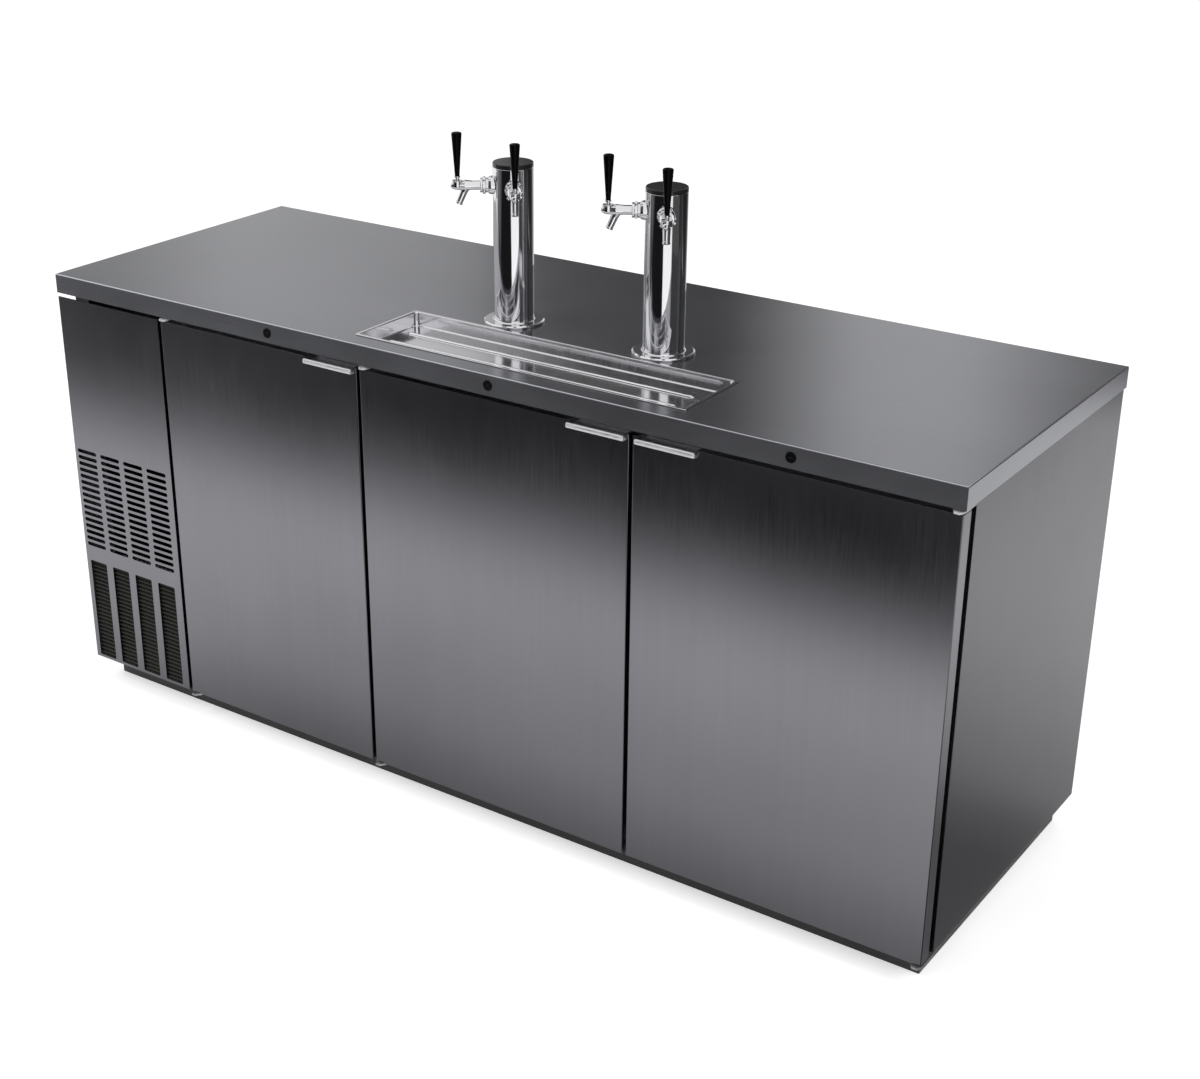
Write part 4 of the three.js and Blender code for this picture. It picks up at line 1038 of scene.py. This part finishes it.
# Lock: heights run forward, the face's from its front and the others from the counter's edge
BEZEL_RADIUS = 0.0095
GROOVE_DEPTH = 0.0007
BEZEL_SEAT_SECTION = ((0.006, 0.0003, 0), (BEZEL_RADIUS, 0.0003, 0.0003))
LOCK_FACE_SECTION = (
    (BEZEL_RADIUS, -0.0004, THIN_ROUND), (0.0085, 0, HAIR_ROUND), (0.0068, 0, HAIR_ROUND),
    (0.0064, -GROOVE_DEPTH, 0.0002), (0.0062, -GROOVE_DEPTH, 0), (0, -0.0004, 0))
BARREL_RADIUS = 0.0079
BARREL_LENGTH = 0.024
BARREL_FRONT = 0.0002
BARREL_SECTION = (
    (0, -BARREL_LENGTH, 0), (BARREL_RADIUS, -BARREL_LENGTH, THIN_ROUND), (BARREL_RADIUS, BARREL_FRONT, 0),
    (0, BARREL_FRONT, 0))
KEYWAY_HALF_WIDTH = 0.0034
KEYWAY_HALF_HEIGHT = 0.0007
KEYWAY_FRONT = 0.00035
KEYWAY_BACK = 0.0009
KEYWAY_STEPS = 2
CAM_REACH = 0.030
CAM_HALF = 0.005
CAM_THICKNESS = 0.003
CAM_GAP = 0.0001
CAM_ROUND = 0.0003
CAM_STEPS = 10
CAM_EDGE_STEPS = 2


def make_lock(door):
    """The face, its keyway, the barrel and the cam."""
    centre = Vector(joints[f"{door}_lock_turn"]["pos_m"])
    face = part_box(f"{door}_door_lock")[0].y
    body = f"{door}_lock"
    matrix = turned((centre.x, 0, centre.z), (0, -1, 0))
    profile = fillet(raised(BEZEL_SEAT_SECTION, -centre.y) + raised(LOCK_FACE_SECTION, -face))
    bezel = lathe(f"{door}_lock_face", profile, PART_SIDES, matrix, M["lock"])
    place(bezel, body, "lock_black", f"{door}_door_lock")
    # The keyway is a near-black box just behind the face: painted shade in the slot
    low = (centre.x - KEYWAY_HALF_WIDTH, face + KEYWAY_FRONT, centre.z - KEYWAY_HALF_HEIGHT)
    high = (centre.x + KEYWAY_HALF_WIDTH, face + KEYWAY_BACK, centre.z + KEYWAY_HALF_HEIGHT)
    keyway = rounded_box(f"{door}_lock_keyway", low, high, BLADE_ROUND, M["keyway"], KEYWAY_STEPS)
    place(keyway, body, "lock_black")
    profile = fillet(raised(BARREL_SECTION, -centre.y))
    barrel = lathe(f"{door}_lock_barrel", profile, SMALL_SIDES, matrix, M["lock"])
    place(barrel, body, "lock_black")
    outline = arc((centre.x + CAM_REACH, centre.z), (CAM_HALF, CAM_HALF), -0.5, 0.5, CAM_STEPS)
    outline += arc((centre.x, centre.z), (CAM_HALF, CAM_HALF), 0.5, 1.5, CAM_STEPS)
    shape = bmesh.new()
    skin(shape, [[(x, centre.y + BARREL_LENGTH + depth, z) for x, z in outline]
                 for depth in (CAM_GAP, CAM_THICKNESS)])
    cam = from_bmesh(f"{door}_lock_cam", bevelled(shape, CAM_ROUND, CAM_EDGE_STEPS), M["zinc"])
    place(cam, body, "lock_black")


# Half of the seal's section, with foot, neck and bulb: how far in from its edge, and the share of its depth
GASKET_WIDTH = 0.020
GASKET_HALF_SECTION = (
    (0, 0), (0.0006, 0.18), (0.0016, 0.28), (0.006, 0.34), (0.003, 0.48), (0.001, 0.62), (0.0006, 0.80),
    (0.0022, 0.94), (0.006, 1))


def make_gasket(door):
    """A soft profile that runs round the door's frame."""
    low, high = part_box(f"{door}_door_gasket")
    depth = high.y - low.y
    section = list(GASKET_HALF_SECTION)
    section += [(GASKET_WIDTH - inset, share) for inset, share in reversed(section)]
    shape = bmesh.new()
    rings = []
    corners = [(low.x, low.z, 1, 1), (high.x, low.z, -1, 1), (high.x, high.z, -1, -1), (low.x, high.z, 1, -1)]
    for x, z, toward_x, toward_z in corners:
        rings.append([shape.verts.new((x + toward_x * inset, low.y + depth * share, z + toward_z * inset))
                      for inset, share in section])
    for first, second in zip(rings, rings[1:] + rings[:1]):
        join_rings(shape, first, second)
    gasket = from_bmesh(f"{door}_door_seal", shape, M["rubber"])
    place(gasket, f"{door}_door", "gasket_rubber", f"{door}_door_gasket")


DOOR_ROUND = 0.0009
DOOR_SKIN = 0.002
POCKET_DROP = 0.022
POCKET_SIDE = 0.003
# How straight up or sideways a face looks to count as the door's top or side
UPWARD = 0.8
SIDEWAYS = 0.99


def make_door(door):
    """The panel, painted black along its top and in the pull's pocket as painted shade under the counter, and
    with the darker side steel on its sides as painted shade.
    """
    low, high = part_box(f"{door}_door")

    # Top faces and the pocket are painted black: painted shade under the counter's edge
    def is_shaded_top(face):
        middle = face.calc_center_median()
        inside = (low.y + DOOR_SKIN < middle.y < high.y - DOOR_SKIN
                  and low.x + POCKET_SIDE < middle.x < high.x - POCKET_SIDE)
        return face.normal.z > UPWARD or middle.z > high.z - POCKET_DROP and inside

    # The doors' sides take the darker side steel: painted shade in the gaps between doors
    def is_shaded_side(face):
        return abs(face.normal.x) > SIDEWAYS

    dressed(f"{door}_door", M["panel"], DOOR_ROUND, ((M["base"], is_shaded_top), (M["side"], is_shaded_side)))


for door in DOORS:
    make_door(door)
    make_pull(door)
    make_lock(door)
    make_gasket(door)
    dressed(f"{door}_door_upper_hinge", M["satin"], FINE_ROUND)
    dressed(f"{door}_door_lower_hinge", M["zinc"], FINE_ROUND)


# Grille panel

SLOT_COLUMNS = 4
SLOT_ROWS = 16
VENT_MIDDLE = -0.868
SLOT_PITCH = 0.069
SLOT_WIDTH = 0.056
SLOT_HEIGHT = 0.008
SLOT_ROUND = SLOT_HEIGHT / 2 - 0.0001
SLOT_ROW_PITCH = 0.0145
SLOT_TOP_DROP = 0.335
WINDOW_WIDTH = 0.049
WINDOW_HEIGHT = 0.2315
WINDOW_BOTTOM = 0.0067
WINDOW_ROUND = 0.003
GRILLE_SHEET = 0.0025
GRILLE_CORNER = 0.0008
GRILLE_CORNER_STEPS = 2
GRILLE_EDGE_ROUND = 0.0003
FOLD_SHEET = 0.002
FOLD_LAP = 0.001
LEFT_FOLD_DROP = 0.040

# Louvres behind the windows: slats that rise to the back, held by a bar on each side and a strip below
SLAT_ROWS = 24
SLAT_GAP = 0.0006
SLAT_DEPTH = 0.0084
SLAT_RISE = 0.005
SLAT_HALF = 0.00065
SLAT_END = 0.003
BAR_WIDTH = 0.006
BAR_LAP = 0.0005
BAR_DEPTH = 0.0096
STRIP_LAP = 0.0003
STRIP_DEPTH = 0.0094
STRIP_HALF = 0.0012


def slot_loop(middle, level, width, height, radius, steps=ROUND_STEPS):
    return rounded_outline((middle - width / 2, level - height / 2), (middle + width / 2, level + height / 2),
                           radius, steps)


def flat_sheet(name, loops, thickness, edge):
    """A mesh of a flat sheet in X and Y, cut out along closed loops, with edges rounded by edge."""
    curve = bpy.data.curves.new(name, "CURVE")
    curve.dimensions = "2D"
    curve.fill_mode = "BOTH"
    curve.extrude = thickness / 2 - edge
    curve.bevel_depth = edge
    curve.bevel_resolution = 1
    curve.offset = -edge
    for loop in loops:
        spline = curve.splines.new("POLY")
        spline.points.add(len(loop) - 1)
        for point, (x, y) in zip(spline.points, loop):
            point.co = (x, y, 0, 1)
        spline.use_cyclic_u = True
    flat = bpy.data.objects.new(name, curve)
    bpy.context.scene.collection.objects.link(flat)
    bpy.context.view_layer.update()
    mesh = evaluated_mesh(flat)
    bpy.data.objects.remove(flat)
    return mesh


def make_grille():
    low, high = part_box("grille_panel")
    loops = [slot_loop((low.x + high.x) / 2, (low.z + high.z) / 2, high.x - low.x, high.z - low.z,
                       GRILLE_CORNER, GRILLE_CORNER_STEPS)]
    for column in range(SLOT_COLUMNS):
        x = VENT_MIDDLE + (column - (SLOT_COLUMNS - 1) / 2) * SLOT_PITCH
        for row in range(SLOT_ROWS):
            z = high.z - SLOT_TOP_DROP - SLOT_HEIGHT / 2 - row * SLOT_ROW_PITCH
            loops.append(slot_loop(x, z, SLOT_WIDTH, SLOT_HEIGHT, SLOT_ROUND))
        z = low.z + WINDOW_BOTTOM + WINDOW_HEIGHT / 2
        loops.append(slot_loop(x, z, WINDOW_WIDTH, WINDOW_HEIGHT, WINDOW_ROUND))
    mesh = flat_sheet("grille_flat", loops, GRILLE_SHEET, GRILLE_EDGE_ROUND)
    upright = Matrix.Rotation(math.pi / 2, 4, "X")
    mesh.transform(Matrix.Translation((0, low.y + GRILLE_SHEET / 2, 0)) @ upright)
    face = finish_mesh("grille_face", mesh, M["panel"])
    place(face, "cabinet", "brushed_steel", "grille_panel")
    seat = low.y + GRILLE_SHEET
    for name, x, top in (("grille_left_fold", low.x, high.z - LEFT_FOLD_DROP),
                         ("grille_right_fold", high.x - FOLD_SHEET, high.z)):
        fold = rounded_box(name, (x, seat - FOLD_LAP, low.z), (x + FOLD_SHEET, high.y, top), THIN_ROUND,
                           M["panel"])
        place(fold, "cabinet", "brushed_steel")
    make_louvres(seat, low.z + WINDOW_BOTTOM)


def make_louvres(seat, bottom):
    half_field = (SLOT_COLUMNS - 1) / 2 * SLOT_PITCH + WINDOW_WIDTH / 2
    left, right = VENT_MIDDLE - half_field, VENT_MIDDLE + half_field
    front = seat + SLAT_GAP
    back = front + SLAT_DEPTH
    shape = bmesh.new()
    for row in range(SLAT_ROWS):
        z = bottom + (row + 0.5) * WINDOW_HEIGHT / SLAT_ROWS
        skin(shape, [[(x, front, z - SLAT_HALF), (x, back, z - SLAT_HALF + SLAT_RISE),
                      (x, back, z + SLAT_HALF + SLAT_RISE), (x, front, z + SLAT_HALF)]
                     for x in (left - SLAT_END, right + SLAT_END)])
    for x in (left - BAR_WIDTH, right):
        add_box(shape, (x, seat - BAR_LAP, bottom), (x + BAR_WIDTH, seat + BAR_DEPTH, bottom + WINDOW_HEIGHT))
    add_box(shape, (left, seat - STRIP_LAP, bottom - STRIP_HALF),
            (right, seat + STRIP_DEPTH, bottom + STRIP_HALF))
    # The louvres' near-black is partly painted shade inside the windows
    louvres = from_bmesh("grille_louvres", bevelled(shape, BLADE_ROUND, 1), M["louvre"])
    place(louvres, "cabinet", "brushed_steel")


make_grille()

# Countertop, body and machinery: the CAD nodes with a material and rounded edges
for material, width, dressed_nodes in (
        ("counter", 0, ("countertop",)),
        ("base", SOFT_ROUND, ("base_frame",)),
        # The side walls take the darker side steel, painted shade
        ("side", WALL_ROUND, ("right_end_wall",)),
        ("side", THIN_ROUND, ("left_side_sheet",)),
        ("liner", WALL_ROUND, ("insulated_floor", "partition_wall", "header_rail", "left_mullion",
                               "right_mullion", "counter_core")),
        ("zinc", WALL_ROUND, ("back_wall",)),
        ("zinc", THIN_ROUND, ("machine_tray", "evaporator_housing")),
        ("enamel", FINE_ROUND, ("compressor",)),
        ("enamel", WALL_ROUND, ("condenser_fan_motor",)),
        ("enamel", THIN_ROUND, ("evaporator_fan_motor",)),
        ("fan", BLADE_ROUND, ("condenser_fan", "evaporator_fan")),
        ("fins", 0, ("condenser_coil", "evaporator_coil"))):
    for node in dressed_nodes:
        dressed(node, M[material], width)

bpy.context.scene.view_settings.view_transform = "Standard"
